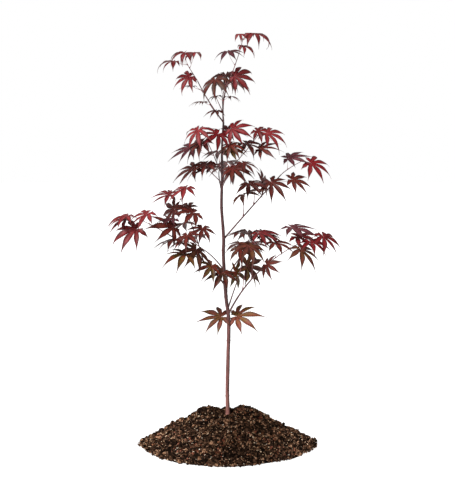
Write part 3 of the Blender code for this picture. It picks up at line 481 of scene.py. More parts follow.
# light of the two shades that each tint is dealt in, and the tints whose slot name is another tint's
LEAF_DEPTHS = {"light": 1.10, "deep": 0.80}
TINT_SLOTS = {"bronze": "brown", "russet": "brown"}
SOILS = {
    # finish, its shades from the darkest crumb to the lightest, and its light if not the one
    # that all the other soils are raised by
    # near black: the peat's own dark colour, and painted shade of the gaps between the clods on it
    "heap": ("moist_peat", ("#070504", "#120C09", "#20160F")),
    "clods_dark": ("peat_clods", ("#0E0A07", "#21160F", "#463226")),
    "clods_brown": ("leaf_mould", ("#24170F", "#553A28", "#94725A")),
    "clods_red": ("bark_clods", ("#341A12", "#5C3527", "#7E5141")),
    "clods_ridge": ("wet_peat", ("#0E0907", "#1E1410", "#3C2A20")),
    "clods_rim": ("rim_peat", ("#0F0A07", "#241812", "#553D2E")),
    "crumbs_dark": ("peat_crumbs", ("#0E0A07", "#38271D", "#96745E")),
    "crumbs_tan": ("grit", ("#6B5443", "#A0866C", "#CDB89C")),
    "perlite": ("perlite", ("#A39584", "#CFC3B2", "#EDE6D8"), 1.15),
    "bark_chips": ("bark_chips", ("#2E1A12", "#563524", "#7E563E")),
    "splinters": ("wood_shreds", ("#4A3222", "#86664A", "#BA9C7A")),
    "fibres": ("root_fibres", ("#4E3828", "#7A5C42", "#A1835F")),
}
# light that the soil's shades are raised by, kept as painted light on the heap's two sides,
# and where its shades lie on the ramp that deals them out
SOIL_BRIGHTNESS = 1.38
CRUMB_STOPS = (0.55, 0.85, 1.0)
# painted shade over the heap's middle: its middle along X, how much it is squashed along Y,
# and the distances between which the painted shade fades out
SHADE_BAND_MIDDLE, SHADE_BAND_SQUASH, SHADE_BAND_SPAN = 0.04, 0.25, (0.04, 0.13)


# ============================================================ paths and plan of the plant

def unit(vector):
    """The vector at length one."""
    return vector / np.linalg.norm(vector)


def turns(count):
    """Even angles round a circle, in radians."""
    return 2 * np.pi * np.arange(count) / count


def heading(bearing, rise):
    """Unit vector at a bearing seen from above and a rise above the level, in degrees."""
    turn = math.radians(bearing)
    lift = math.radians(rise)
    level = math.cos(lift)
    return np.array((level * math.cos(turn), level * math.sin(turn), math.sin(lift)))


def smooth_line(points, count):
    """Catmull-Rom line through the points, sampled at `count` even steps."""
    inner = np.array(points, float)
    line = np.vstack((2 * inner[0] - inner[1], inner, 2 * inner[-1] - inner[-2]))
    where = np.linspace(0, len(points) - 1, count)
    first = np.minimum(where.astype(int), len(points) - 2)
    t = (where - first)[:, None]
    a, b, c, d = (line[first + k] for k in range(4))
    return 0.5 * (2 * b + (c - a) * t + (2 * a - 5 * b + 4 * c - d) * t**2
                  + (3 * b - a - 3 * c + d) * t**3)


def grow(start, bearing, rise, length, rings):
    """Line that turns evenly from its first bearing and rise to its last, in equal steps."""
    share = (np.arange(rings - 1) + 0.5) / (rings - 1)
    turn = np.radians(bearing[0] + (bearing[1] - bearing[0]) * share)
    lift = np.radians(rise[0] + (rise[1] - rise[0]) * share)
    steps = np.stack((np.cos(lift) * np.cos(turn), np.cos(lift) * np.sin(turn), np.sin(lift)), 1)
    return np.vstack((start, start + np.cumsum(steps * length / (rings - 1), axis=0)))


def walked_along(line):
    """Distance walked along a line at each of its points."""
    spans = np.linalg.norm(np.diff(line, axis=0), axis=1)
    return np.concatenate(((0.0,), np.cumsum(spans)))


def tangents_of(line):
    """Direction of a line at each of its points."""
    tangents = np.gradient(line, axis=0)
    return tangents / np.linalg.norm(tangents, axis=1)[:, None]


def along(line, share):
    """Point and direction at a share of a line's length."""
    spans = np.linalg.norm(np.diff(line, axis=0), axis=1)
    walked = walked_along(line)
    want = share * walked[-1]
    k = int(np.clip(np.searchsorted(walked, want) - 1, 0, len(spans) - 1))
    step = line[k + 1] - line[k]
    return line[k] + step * (want - walked[k]) / spans[k], unit(step)


def share_at_height(line, height):
    """Share of the line's length at which it reaches a height."""
    walked = walked_along(line)
    return float(np.interp(height, line[:, 2], walked)) / walked[-1]


def tube(line, radii, sides):
    """Closed tube: a ring of points round each point of the line, and a flat cap at each end."""
    tangents = tangents_of(line)
    across = np.cross(tangents[0], UP if abs(tangents[0][2]) < UPRIGHT else (0.0, 1.0, 0.0))
    rings = []
    angles = turns(sides)
    for centre, tangent, radius in zip(line, tangents, radii):
        across = unit(across - tangent * (across @ tangent))
        other = np.cross(tangent, across)
        rings.append(centre + radius * (np.outer(np.cos(angles), across)
                                        + np.outer(np.sin(angles), other)))
    last = (len(line) - 1) * sides
    faces = [(0, k + 1, k) for k in range(1, sides - 1)]
    faces += [(last, last + k, last + k + 1) for k in range(1, sides - 1)]
    for k in range(sides):
        j = (k + 1) % sides
        for ring in range(0, last, sides):
            faces.append((ring + k, ring + j, ring + sides + j))
            faces.append((ring + k, ring + sides + j, ring + sides + k))
    return np.vstack(rings), faces


Leaf = namedtuple("Leaf", "foot joint middle side normal size droop tint")


def leaf_solid(leaf, extra=0.0):
    """Palmate leaf as a thin lens: a sharp outline fanned to a raised hub and a lowered one.

    The outline goes round the lobes as notch, flank, tip, flank; the heel lobes have no flanks.
    `extra` thickens the lens.
    """
    length, droop = leaf.size, leaf.droop
    half = LEAF_THICKNESS * length / 2 + extra

    def place(angle, reach, offset, sag):
        """Point at a reach along an angle, offset from that line and sagging below the blade."""
        turn = math.radians(angle)
        outward = leaf.middle * math.cos(turn) + leaf.side * math.sin(turn)
        flank = leaf.side * math.cos(turn) - leaf.middle * math.sin(turn)
        return leaf.joint + outward * reach + flank * offset - leaf.normal * sag

    outline = [place(180.0, HEEL_REACH * length, 0.0, 0.0)]
    for k, (angle, share) in enumerate(LOBES):
        reach = share * length
        width = LOBE_HALF_WIDTH * length * math.sqrt(share)
        waist_sag = droop * LOBE_WAIST**2 * reach
        if k:
            between = (angle + LOBES[k - 1][0]) / 2
            notch_sag = droop * NOTCH_REACH**2 * length
            outline.append(place(between, NOTCH_REACH * length, 0.0, notch_sag))
        if share > HEEL_LOBE:
            outline.append(place(angle, LOBE_WAIST * reach, -width, waist_sag))
        outline.append(place(angle, reach, 0.0, droop * reach))
        if share > HEEL_LOBE:
            outline.append(place(angle, LOBE_WAIST * reach, width, waist_sag))
    rim = len(outline)
    points = outline + [leaf.joint + leaf.normal * half, leaf.joint - leaf.normal * half]
    faces = []
    for k in range(rim):
        faces.append((rim, k, (k + 1) % rim))
        faces.append((rim + 1, (k + 1) % rim, k))
    return np.array(points), faces


class Room:
    """The bodies placed so far, so that a new one can be tested for touching them."""

    def __init__(self):
        self.taken = []

    def measured(self, points, faces):
        """Centre and radius of a body's ball, and its tree of faces."""
        centre = points.mean(axis=0)
        radius = float(np.linalg.norm(points - centre, axis=1).max())
        return centre, radius, BVHTree.FromPolygons(points.tolist(), faces, all_triangles=True)

    def add(self, points, faces, owner):
        """Takes the room of a body."""
        self.taken.append((*self.measured(points, faces), owner))

    def free(self, points, faces, owner):
        """Whether a body touches none but its owner's own."""
        centre, radius, tree = self.measured(points, faces)
        for other_centre, other_radius, other_tree, other_owner in self.taken:
            if other_owner == owner:
                continue
            if np.linalg.norm(centre - other_centre) > radius + other_radius:
                continue
            if tree.overlap(other_tree):
                return False
        return True


Limb = namedtuple("Limb", "line radii sides")


def plan_limbs():
    """Centre line and radii of the trunk and of each bough, by name."""
    line = smooth_line(TRUNK_LINE, TRUNK_RINGS)
    # rings crowd towards the foot, where the root flare turns quickest
    heights, girths = zip(*TRUNK_GIRTH)
    flare = heights[1:FLARE_GIRTHS]
    foot = np.array([along(line, share_at_height(line, z))[0] for z in flare])
    line = np.vstack((line[:1], foot, line[line[:, 2] > flare[-1] + FLARE_GAP]))
    limbs = {"trunk": Limb(line, np.interp(line[:, 2], heights, girths), TRUNK_SIDES)}
    for name, bough in BOUGHS.items():
        start, _ = root_on(limbs[bough.parent], bough)
        path = grow(start, bough.bearing, bough.rise, bough.length, BOUGH_RINGS)
        share = np.linspace(0.0, 1.0, BOUGH_RINGS)
        radii = bough.girth[0] + (bough.girth[1] - bough.girth[0]) * share**BOUGH_TAPER
        limbs[name] = Limb(path, radii, BOUGH_SIDES)
    return limbs


def root_on(limb, shoot):
    """Where a shoot's centre line starts on its limb, and how far it runs inside the limb."""
    line, radii = limb.line, limb.radii
    if shoot.at == 1:
        tip, direction = along(line, 1.0)
        return tip + direction * GAP, 0.0
    on_trunk = "trunk" in (getattr(shoot, "parent", None), getattr(shoot, "limb", None))
    share = share_at_height(line, shoot.at) if on_trunk else shoot.at
    start, direction = along(line, share)
    radius = float(np.interp(share, np.linspace(0.0, 1.0, len(radii)), radii))
    leaving = np.cross(direction, heading(shoot.bearing[0], shoot.rise[0]))
    return start, (radius + GAP) / float(np.linalg.norm(leaving))


def blade_frame(toward, facing, tilt):
    """Middle-lobe direction, side and normal of a blade tilted from level to a bearing."""
    lean = math.radians(tilt)
    normal = UP * math.cos(lean) + heading(facing, 0.0) * math.sin(lean)
    middle = unit(toward - normal * (toward @ normal))
    return middle, np.cross(normal, middle), normal


def petiole_line(leaf):
    """Petiole from the stem's core, sagging a little, and on into the leaf's hub."""
    sag = UP * PETIOLE_SAG * np.linalg.norm(leaf.joint - leaf.foot)
    halfway = (leaf.foot + leaf.joint) / 2 - sag
    return np.array((leaf.foot, halfway, leaf.joint + leaf.middle * PETIOLE_SINK * leaf.size))


def of_leaf(values, order):
    """What the leaves of a node take from their spray: its one value, or their turn in a tuple."""
    values = values if isinstance(values, tuple) else (values,)
    return values[min(order, len(values) - 1)]


def plan_leaf(name, spray, axis, node, order, sign, attempt):
    """One leaf's petiole and blade, from its node and a seed; later tries swing it further."""
    foot, direction, roll, petiole = node
    dice = random.Random(f"{name} {order} {sign} {attempt}")
    swing = SWING * attempt
    across = unit(np.cross(direction, UP))
    above = np.cross(across, direction)
    turn = math.radians(roll + dice.uniform(-swing, swing))
    outward = sign * (across * math.cos(turn) + above * math.sin(turn))
    on, out, up = PETIOLE_LEAN
    reach = unit(on * direction + out * outward + up * UP)
    length = petiole * MM * (1 + PETIOLE_SPREAD * dice.uniform(-1, 1))
    joint = foot + reach * length * (1 + PETIOLE_STRETCH * attempt)
    away, onward, lightward = BLADE_PULL
    toward = away * unit((joint - axis) * (1, 1, 0)) + onward * reach * (1, 1, 0)
    toward = toward + lightward * heading(of_leaf(spray.facing, order), 0.0)
    toward = toward - UP * BLADE_DIP * (1 + dice.uniform(-1, 1))
    facing = of_leaf(spray.facing, order) + dice.uniform(-1, 1) * (TURN_SPREAD + swing)
    tilt = of_leaf(spray.tilt, order) + dice.uniform(-1, 1) * (TILT_SPREAD + swing / 2)
    size = of_leaf(spray.leaf, order) * (1 + SIZE_SPREAD * dice.uniform(-1, 1))
    size *= 1 - LEAF_SHRINK * attempt
    middle, side, normal = blade_frame(unit(toward), facing, tilt)
    droop = float(np.interp(joint[2], DROOP_HEIGHTS, (DROOP_LOW, DROOP_TOP)))
    tint = of_leaf(spray.tints, order)
    return Leaf(foot, joint, middle, side, normal, size, droop, tint)


def place_leaf(room, name, spray, axis, node, order, sign):
    """A list of the first try at a leaf that finds a free place, empty if none of them does."""
    for attempt in range(TRIES):
        leaf = plan_leaf(name, spray, axis, node, order, sign, attempt)
        blade = leaf_solid(leaf, LEAF_ROOM)
        girths = np.full(3, PETIOLE_GIRTH[0] + LEAF_ROOM)
        stalk = tube(petiole_line(leaf), girths, PETIOLE_SIDES)
        if room.free(*blade, name) and room.free(*stalk, name):
            room.add(*blade, name)
            room.add(*stalk, name)
            return [leaf]
    return []


def plan_sprays(limbs):
    """Stem and leaves of each spray. A leaf that finds no free place is left out."""
    room = Room()
    for name, limb in limbs.items():
        room.add(*tube(limb.line, limb.radii + LEAF_ROOM, limb.sides), name)
    stems = {}
    for name, spray in SPRAYS.items():
        start, lead = root_on(limbs[spray.limb], spray)
        line = grow(start, spray.bearing, spray.rise, lead + spray.length, STEM_RINGS)
        stems[name] = Limb(line, np.linspace(*STEM_GIRTH, STEM_RINGS), STEM_SIDES), lead
        outer = line if lead == 0.0 else stem_outside(line, lead)
        room.add(*tube(outer, np.full(len(outer), STEM_GIRTH[0] + LEAF_ROOM), STEM_SIDES), name)
    sprays = {}
    trunk = limbs["trunk"].line
    for name, spray in SPRAYS.items():
        stem, lead = stems[name]
        axis, _ = along(trunk, share_at_height(trunk, stem.line[0][2]))
        leaves = []
        for order, (share, roll, petiole, count) in enumerate(spray.nodes):
            reached = (lead + share * spray.length) / (lead + spray.length)
            node = (*along(stem.line, min(reached, LAST_NODE)), roll, petiole)
            for sign in (1, -1)[:count]:
                leaves += place_leaf(room, name, spray, axis, node, order, sign)
        sprays[name] = (stem, leaves)
    return sprays


def stem_outside(line, lead):
    """The part of a stem's line that stands outside its limb."""
    hidden = min(1.0, ROOT_SPREAD * lead / walked_along(line)[-1])
    shares = np.linspace(hidden, 1.0, len(line))
    return np.array([along(line, share)[0] for share in shares])


def heap_share(x, y):
    """Share of the way from the heap's middle to its foot: oval before it, a wedge behind."""
    across, away = np.abs(x) / HEAP_SIDE, (y - HEAP_MIDDLE) / HEAP_DEPTH
    behind = across**HEAP_WEDGE + (np.maximum(away, 0) / HEAP_BACK) ** HEAP_WEDGE
    return np.where(away > 0, behind ** (1 / HEAP_WEDGE), np.hypot(across, away))


def heap_edge(angle):
    """Point on the heap's ragged foot at each angle about the heap's middle."""
    waves = sum(size * np.cos(count * angle + start) for size, count, start in HEAP_WAVES)
    x, y = np.cos(angle), np.sin(angle)
    reach = (1 + waves) / heap_share(x, HEAP_MIDDLE + y)
    return reach * x, HEAP_MIDDLE + reach * y


def heap_top(x, y, lumps):
    """Height of the heap: a rounded cone, seeded lumps, and a bank down to the trunk's seat."""
    height = HEAP_HEIGHT * (1 - np.clip(heap_share(x, y), 0, 1) ** HEAP_POWER)
    for lump_x, lump_y, size, rise in lumps:
        height += rise * np.exp(-((x - lump_x) ** 2 + (y - lump_y) ** 2) / size**2)
    bank = np.clip((np.hypot(x, y) - SEAT_RADIUS) / (SEAT_BANK - SEAT_RADIUS), 0, 1)
    bank = bank * bank * (3 - 2 * bank)
    height = SEAT_HEIGHT + (height - SEAT_HEIGHT) * bank
    return np.maximum(height, HEAP_LIP)


def plan_lumps():
    """The humps of the ridge behind the trunk, and seeded lumps, as (x, y, width, rise)."""
    dice = random.Random("heap")
    lumps = list(HEAP_HUMPS)
    for _ in range(HEAP_LUMPS):
        reach = math.sqrt(dice.random())
        turn = dice.uniform(0, 2 * math.pi)
        lumps.append((HEAP_SIDE * reach * math.cos(turn),
                      HEAP_MIDDLE + HEAP_DEPTH * reach * math.sin(turn),
                      dice.uniform(*HEAP_LUMP_SIZE), dice.uniform(*HEAP_LUMP_HEIGHT)))
    return lumps


# ============================================================ meshes from whole arrays

def add_object(name, data):
    """A new object in the scene."""
    made = bpy.data.objects.new(name, data)
    bpy.context.scene.collection.objects.link(made)
    return made


def add_piece(name, points, faces, surface, slot, crease=50.0):
    """One object from points (n, 3) and a list of face arrays, one array for each face size.

    It sits at the origin with its place in its mesh, and rides with the plant. Edges sharper
    than the crease, in degrees, keep a hard shade. Without a crease every face is flat.
    """
    mesh = bpy.data.meshes.new(name)
    mesh.vertices.add(len(points))
    mesh.vertices.foreach_set("co", np.ascontiguousarray(points, np.float32).ravel())
    corners = np.concatenate([group.ravel() for group in faces]).astype(np.int32)
    sizes = np.concatenate([np.full(len(group), group.shape[1]) for group in faces])
    mesh.loops.add(len(corners))
    mesh.loops.foreach_set("vertex_index", corners)
    mesh.polygons.add(len(sizes))
    starts = np.concatenate(((0,), np.cumsum(sizes)[:-1])).astype(np.int32)
    mesh.polygons.foreach_set("loop_start", starts)
    mesh.update(calc_edges=True)
    mesh.validate()
    if crease is not None:
        mesh.shade_smooth()
        mesh.set_sharp_from_angle(angle=math.radians(crease))
    mesh.materials.append(surface)
    piece = add_object(name, mesh)
    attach(piece, "root")
    return piece


def lofts(rings):
    """Closed tubes from rings (tubes, stations, points round, 3), or one tube from rings
    without the first axis. Each ring is joined to the next by four-cornered faces, and one
    many-cornered face closes each end."""
    rings = rings.reshape(-1, *rings.shape[-3:])
    tubes, stations, around, _ = rings.shape
    at = np.arange(tubes * stations * around).reshape(tubes, stations, around)
    here, there = at[:, :-1], at[:, 1:]
    sides = np.stack((here, np.roll(here, -1, 2), np.roll(there, -1, 2), there), -1)
    ends = np.concatenate((at[:, 0, ::-1], at[:, -1]))
    return rings.reshape(-1, 3), [sides.reshape(-1, 4), ends]


def together(parts):
    """Joins (points, face arrays) parts into one, with each part's corners counted on."""
    points, faces, count = [], [], 0
    for place, groups in parts:
        points.append(place)
        faces += [group + count for group in groups]
        count += len(place)
    return np.vstack(points), faces


def round_path(line, radii, sides, reference):
    """Rings of a round profile carried along a line: at each point the circle stands square to
    the line's direction, turned so that its start leans to the reference direction. The radii
    are (stations,) or (stations, sides)."""
    tangents = tangents_of(line)
    across = reference - tangents * (tangents @ reference)[:, None]
    across /= np.linalg.norm(across, axis=1)[:, None]
    other = np.cross(tangents, across)
    turn = turns(sides)[None, :, None]
    reach = np.broadcast_to(np.asarray(radii).reshape(len(line), -1), (len(line), sides))
    circle = across[:, None] * np.cos(turn) + other[:, None] * np.sin(turn)
    return line[:, None] + circle * reach[:, :, None]


# ============================================================ bark

def bark_of(limb, sides, reference, nodes, collar):
    """Bark of one limb: its radius times one plus a sum of cosines round and along it, a low
    ring with two opposite scars at each node (distance, turn), and a collar that fades away
    from the root. The tip is rounded as a quarter of a circle."""
    walked = walked_along(limb.line)
    path = smooth_line(limb.line, max(BARK_LEAST, int(round(walked[-1] / BARK_STEP))))
    run, turn = walked_along(path)[:, None], turns(sides)
    radius = np.interp(run, walked, limb.radii)
    relief = 1 + sum(size * np.cos(count * turn + 2 * np.pi * rate * run + start)
                     for size, count, rate, start in BARK_WAVES)
    for distance, start in nodes:
        ring = np.exp(-((run - distance) / NODE_RING_WIDTH) ** 2)
        below = np.exp(-((run - distance + NODE_SCAR_DROP) / NODE_SCAR_WIDTH) ** 2)
        scars = np.cos(turn - start) ** NODE_SCAR_POWER
        relief = relief + NODE_RING * ring + NODE_SCAR * below * scars
    height, width = collar
    relief = relief + height * np.exp(-run / width)
    rounded = np.clip((run[-1] - run) / (TIP_ROUND * radius[-1]), 0.0, 1.0)
    cap = np.maximum(np.sqrt(1 - (1 - rounded) ** 2), TIP_FLAT)
    return round_path(path, radius * relief * cap, sides, reference)


def node_places(name, limb, spacing, first):
    """Seeded (distance, turn) of a limb's old nodes, about the spacing apart, with opposite
    pairs turned a quarter from one to the next."""
    dice = random.Random(f"nodes {name}")
    places, at, start = [], first, dice.uniform(0, math.pi)
    while at < walked_along(limb.line)[-1] - NODE_END:
        places.append((at, start))
        at += spacing * dice.uniform(*NODE_SPACING)
        start += math.pi / 2 + dice.uniform(*NODE_TURN)
    return places


def build_bark(limbs, trunk_surface, bough_surface):
    """Trunk and boughs with their bark. A bough starts on its parent's axis, so that its
    collar grows out of the parent's side."""
    trunk = limbs["trunk"]
    nodes = node_places("trunk", trunk, *TRUNK_NODES)
    rings = bark_of(trunk, BARK_SIDES, TRUNK_SEAM, nodes, TRUNK_COLLAR)
    piece = add_piece("trunk_bark", *lofts(rings), trunk_surface, "bark")
    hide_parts("trunk")
    parts = []
    for name, bough in BOUGHS.items():
        side = heading(bough.bearing[0] + 90, 0.0)
        nodes = node_places(name, limbs[name], *BOUGH_NODES)
        collar = BOUGH_COLLAR if bough.at != 1 else NO_COLLAR
        parts.append(lofts(bark_of(limbs[name], BOUGH_BARK_SIDES, side, nodes, collar)))
    piece = add_piece("bough_bark", *together(parts), bough_surface, "bark")
    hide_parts(*(f"bough_{name}" for name in BOUGHS))


# ============================================================ twigs, petioles and buds

def build_twigs(sprays, surface):
    """Stem of each spray: a thin round taper with a swelling at every node and a collar where
    it leaves its limb, and not quite round in section."""
    parts = []
    share = np.linspace(0.0, 1.0, TWIG_STATIONS)
    turn = turns(TWIG_SIDES)
    for name, (stem, _) in sprays.items():
        spray = SPRAYS[name]
        path = smooth_line(stem.line, TWIG_STATIONS)
        whole = walked_along(path)[-1]
        lead = 1 - spray.length / walked_along(stem.line)[-1]
        radius = np.interp(share, np.linspace(0, 1, len(stem.radii)), stem.radii)
        for place, _, _, _ in spray.nodes:
            at = min(lead + place * (1 - lead), LAST_NODE)
            swollen = np.exp(-((share - at) * whole / TWIG_NODE_WIDTH) ** 2)
            radius = radius * (1 + TWIG_NODE * swollen)
        if spray.at != 1:
            beyond = np.clip(share * whole - TWIG_COLLAR_WIDTH, 0, None)
            radius = radius * (1 + TWIG_COLLAR * np.exp(-beyond / TWIG_COLLAR_WIDTH))
        radius = radius[:, None] * (1 + TWIG_OVAL * np.cos(2 * turn + TWIG_TWIST * share[:, None]))
        side = heading(spray.bearing[0] + 90, 0.0)
        parts.append(lofts(round_path(path, radius, TWIG_SIDES, side)))
    piece = add_piece("twigs", *together(parts), surface, "bark")
    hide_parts(*(f"leaves_{name}" for name in sprays))


def build_petioles(leaves, surface):
    """Petioles: thin arcs from the stem to the leaf's hub, thicker at both ends."""
    share = np.linspace(0.0, 1.0, PETIOLE_STATIONS)
    swell = 1 + sum(rise * np.exp(-np.abs(share - end) / width)
                    for end, rise, width in PETIOLE_ENDS)
    radius = np.interp(share, (0, 1), PETIOLE_GIRTH) * swell * PETIOLE_SHARE
    parts = []
    for leaf in leaves:
        path = smooth_line(petiole_line(leaf), PETIOLE_STATIONS)
        lean = unit(np.cross(leaf.joint - leaf.foot, UP))
        parts.append(lofts(round_path(path, radius, PETIOLE_ROUND, lean)))
    add_piece("petioles", *together(parts), surface, "bark")


def bud_at(place, direction, length, girth):
    """Bud: a round profile whose radius rises and falls as a sine, pointed at its tip."""
    share = np.linspace(0.0, 1.0, BUD_STATIONS)
    path = place + direction * (share * length)[:, None]
    wave = np.sin(np.pi * (BUD_WAVE[0] + BUD_WAVE[1] * share))
    radius = girth * (BUD_LEAST + wave ** BUD_POWER)
    reference = unit(np.cross(direction, BUD_SEAM))
    return lofts(round_path(path, radius, BUD_SIDES, reference))


def build_buds(sprays, surface):
    """Paired buds in the leaf axils and at the tips of the stems."""
    parts = []
    for stem, leaves in sprays.values():
        tip, onward = along(stem.line, 1.0)
        beside = unit(np.cross(onward, UP))
        for sign in (1, -1):
            lean = unit(onward + END_BUD_LEAN * sign * beside)
            parts.append(bud_at(tip - onward * END_BUD_SINK, lean, *END_BUD))
        for leaf in leaves:
            out = unit(leaf.joint - leaf.foot)
            place = leaf.foot + out * AXIL_BUD_PLACE[0] + onward * AXIL_BUD_PLACE[1]
            parts.append(bud_at(place, unit(out * AXIL_BUD_LEAN + onward), *AXIL_BUD))
    add_piece("buds", *together(parts), surface, "bark")


# ============================================================ leaves

def lobe_frames():
    """Angle and length share of each lobe, and half the angle to its neighbour on each side."""
    angles, shares = (np.array(values, float) for values in zip(*LOBES))
    gaps = np.diff(angles) / 2
    low = np.concatenate(((HEEL_GAP,), gaps))
    high = np.concatenate((gaps, (HEEL_GAP,)))
    return np.radians(angles), shares, np.radians(low), np.radians(high)


def lobe_profile():
    """Along the stations of a lobe: how much of the web is crossed, how much of the lobe beyond
    it is reached, the lobe's width, how much the web's edge still counts, and the teeth.

    The width is u to a power times (1 - u) to another, each scaled to one where the lobe is
    widest. Every other station is a tooth that points forward, and the ones between are notches.
    """
    inner = np.linspace(WEB_START, 1.0, WEB_STATIONS)
    steps = np.linspace(0.0, 1.0, LOBE_STATIONS + 1)[1:]
    toothed = (steps > TEETH_SPAN[0]) * (steps < TEETH_SPAN[1])
    peak = (np.arange(LOBE_STATIONS) % 2) * toothed
    steps = steps + peak * TOOTH_LEAN / LOBE_STATIONS
    crossed = np.concatenate((inner, steps * 0 + 1))
    reached = np.concatenate((inner * 0.0, steps))
    rise = LOBE_NARROWING * LOBE_WIDEST / (1 - LOBE_WIDEST)
    width = ((reached / LOBE_WIDEST) ** rise
             * ((1 - reached) / (1 - LOBE_WIDEST)) ** LOBE_NARROWING)
    waist = np.clip(1 - reached / WAIST_END, 0, 1) ** WAIST_POWER
    teeth = np.concatenate((inner * 0 + 1, 1 - TOOTH_DEPTH * (1 - peak)))
    return [values[:, None] for values in (crossed, reached, width, waist, teeth)]


def lobe_shapes(leaves, dice):
    """Every lobe of every leaf in its blade's own frame, as arrays (leaves, lobes, stations,
    points across): offset from the lobe's middle line, lift off the blade, and along that line
    the distance out, the drop, the bend and the share of the lobe's length.

    The stations first cross the web, whose edge is the ray half way to the next lobe, and then
    follow the lobe's outline. The middle line keeps its length and bends down by an angle that
    grows with the share of its length to a power. Across that line the blade rises to both
    margins as a shallow V, with a seeded twist.
    """
    measures = [(leaf.size, leaf.joint[2], TINT_BEND.get(leaf.tint, 1.0)) for leaf in leaves]
    size, heights, age = np.array(measures).T[..., None, None, None]
    _, share, low, high = (values[:, None, None] for values in lobe_frames())
    crossed, reached, width, waist, teeth = lobe_profile()

    def spread(amount):
        """A seeded draw for each lobe, no further from nought than twice the amount."""
        drawn = dice.normal(0.0, amount, (len(leaves), len(LOBES), 1, 1))
        return np.clip(drawn, -2 * amount, 2 * amount)

    lengths = share * (1 + spread(LENGTH_SPREAD)) * size * LOBE_STRETCH
    web = WEB_REACH * np.cos((low + high) / 2) * size
    run = web * crossed + (lengths - web) * reached
    part = run / lengths
    widest = LOBE_WIDTH * np.sqrt(share) * size * (1 + spread(WIDTH_SPREAD))

    def half_width(gap):
        """Half the lobe's width on the side where its neighbour is twice the gap away."""
        edge = web * crossed * np.tan(gap) * waist
        return (edge + (widest - edge) * width) * teeth + TIP_WIDTH * size

    off = np.where(ACROSS > 0, half_width(high), half_width(low)) * ACROSS
    turned_down = np.interp(heights, BEND_HEIGHTS, BEND) * age * dice.uniform(*BEND_RANGE, age.shape)
    bend = np.radians(turned_down) * (1 + spread(BEND_SPREAD)) * part ** BEND_POWER
    span = np.diff(run, axis=2, prepend=0.0)
    between = (bend + np.concatenate((bend[:, :, :1] * 0, bend[:, :, :-1]), 2)) / 2
    out = np.cumsum(span * np.cos(between), axis=2)
    drop = np.cumsum(span * np.sin(between), axis=2)
    fold = (LOBE_FOLD + spread(FOLD_SPREAD)) * np.clip(part / FOLD_START, 0, 1)
    twist = spread(TWIST_SPREAD) * off * part
    height, along_waves, across_waves = BLADE_WAVES
    wave = height * np.sin(along_waves * part + across_waves * ACROSS)
    lift = (fold + wave) * np.abs(off) + twist
    off = off + spread(SWAY_SPREAD) * lengths * part ** 2
    return off, lift, out, drop, bend, part


def blades(leaves, dice):
    """Rings of every lobe of every leaf, how near each of their points is to the lobe's
    margin or tip, and rings of the rib that runs down its middle. Each lobe is a thin closed
    shell, thinner at its margins."""
    off, lift, out, drop, bend, part = lobe_shapes(leaves, dice)
    base, middle, side, normal = (
        np.array([getattr(leaf, key) for leaf in leaves])[:, None, None, None]
        for key in ("joint", "middle", "side", "normal"))
    size = np.array([leaf.size for leaf in leaves])[:, None, None, None]
    turn = lobe_frames()[0][:, None, None]

    def placed(off, lift):
        """Points of the blades' own frame, in space."""
        far = out + lift * np.sin(bend)
        forward = far * np.cos(turn) - off * np.sin(turn)
        sideways = far * np.sin(turn) + off * np.cos(turn)
        height = lift * np.cos(bend) - drop
        return (base + forward[..., None] * middle + sideways[..., None] * side
                + height[..., None] * normal)

    def kept_low(rings):
        """Heights above a leaf's hub drawn in where the leaf would pass the crown's top."""
        hub = base[..., 2]
        rise = rings[..., 2] - hub
        most = np.maximum(rise.max(axis=(1, 2, 3), keepdims=True), 1e-6)
        room = cad_box[1][2] - TOP_MARGIN - hub
        rings[..., 2] = hub + np.where(rise > 0, np.minimum(1.0, room / most), 1.0) * rise
        return rings.reshape(len(leaves) * len(LOBES), rings.shape[2], -1, 3)

    half = BLADE_THICKNESS / 2 * (1 - MARGIN_THINNING * np.abs(ACROSS))
    shell = np.concatenate((placed(off, lift + half), placed(off, lift - half)[:, :, :, ::-1]), 3)
    near = np.clip(np.abs(ACROSS) ** 2 + TIP_DARKENING * part ** 3, 0.0, 1.0)
    margin = np.concatenate((near, near[:, :, :, ::-1]), 3)
    thick = RIB_SIZE * size * (RIB_TAPER - part)
    rib = [placed(off[..., 2:3] + aside * thick, lift[..., 2:3] + above * thick)
           for aside, above in RIB_SECTION]
    return kept_low(shell), margin, kept_low(np.concatenate(rib, axis=3))


def build_leaves(leaves, rib_surface):
    """The leaves in two pieces for each tint, one a little darker, dealt out leaf by leaf, and
    the ribs of all of them in one piece."""
    ribs = []
    for order, (tint, shades) in enumerate(LEAF_SHADES.items()):
        tinted = [leaf for leaf in leaves if leaf.tint == tint]
        for turn, (kind, depth) in enumerate(LEAF_DEPTHS.items()):
            name = f"leaves_{tint}_{kind}"
            dice = np.random.default_rng(LEAF_SEED + 2 * order + turn)
            shell, margin, rib = blades(tinted[turn::2], dice)
            slot = f"leaves_{TINT_SLOTS.get(tint, tint)}"
            piece = add_piece(name, *lofts(shell), leaf_skin(name, depth, *shades), slot)
            drawn = piece.data.attributes.new("margin", "FLOAT", "POINT")
            drawn.data.foreach_set("value", margin.astype(np.float32).ravel())
            ribs.append(lofts(rib[:, ::2]))
    add_piece("leaf_ribs", *together(ribs), rib_surface, "leaves_red")


# ============================================================ potting soil

def rough(x, y, pitch, seed):
    """Value noise from -1 to 1: seeded heights on a square lattice of the pitch, blended by
    smooth steps."""
    table = np.random.default_rng(seed).uniform(-1, 1, (LATTICE, LATTICE))
    u, v = x / pitch + LATTICE_SHIFT[0], y / pitch + LATTICE_SHIFT[1]
    i, j = np.floor(u).astype(int), np.floor(v).astype(int)
    p, q = u - i, v - j
    p, q = p * p * (3 - 2 * p), q * q * (3 - 2 * q)

    def row(k):
        """Heights on line k of the lattice."""
        line = k % LATTICE
        return table[i % LATTICE, line] * (1 - p) + table[(i + 1) % LATTICE, line] * p

    return row(j) * (1 - q) + row(j + 1) * q


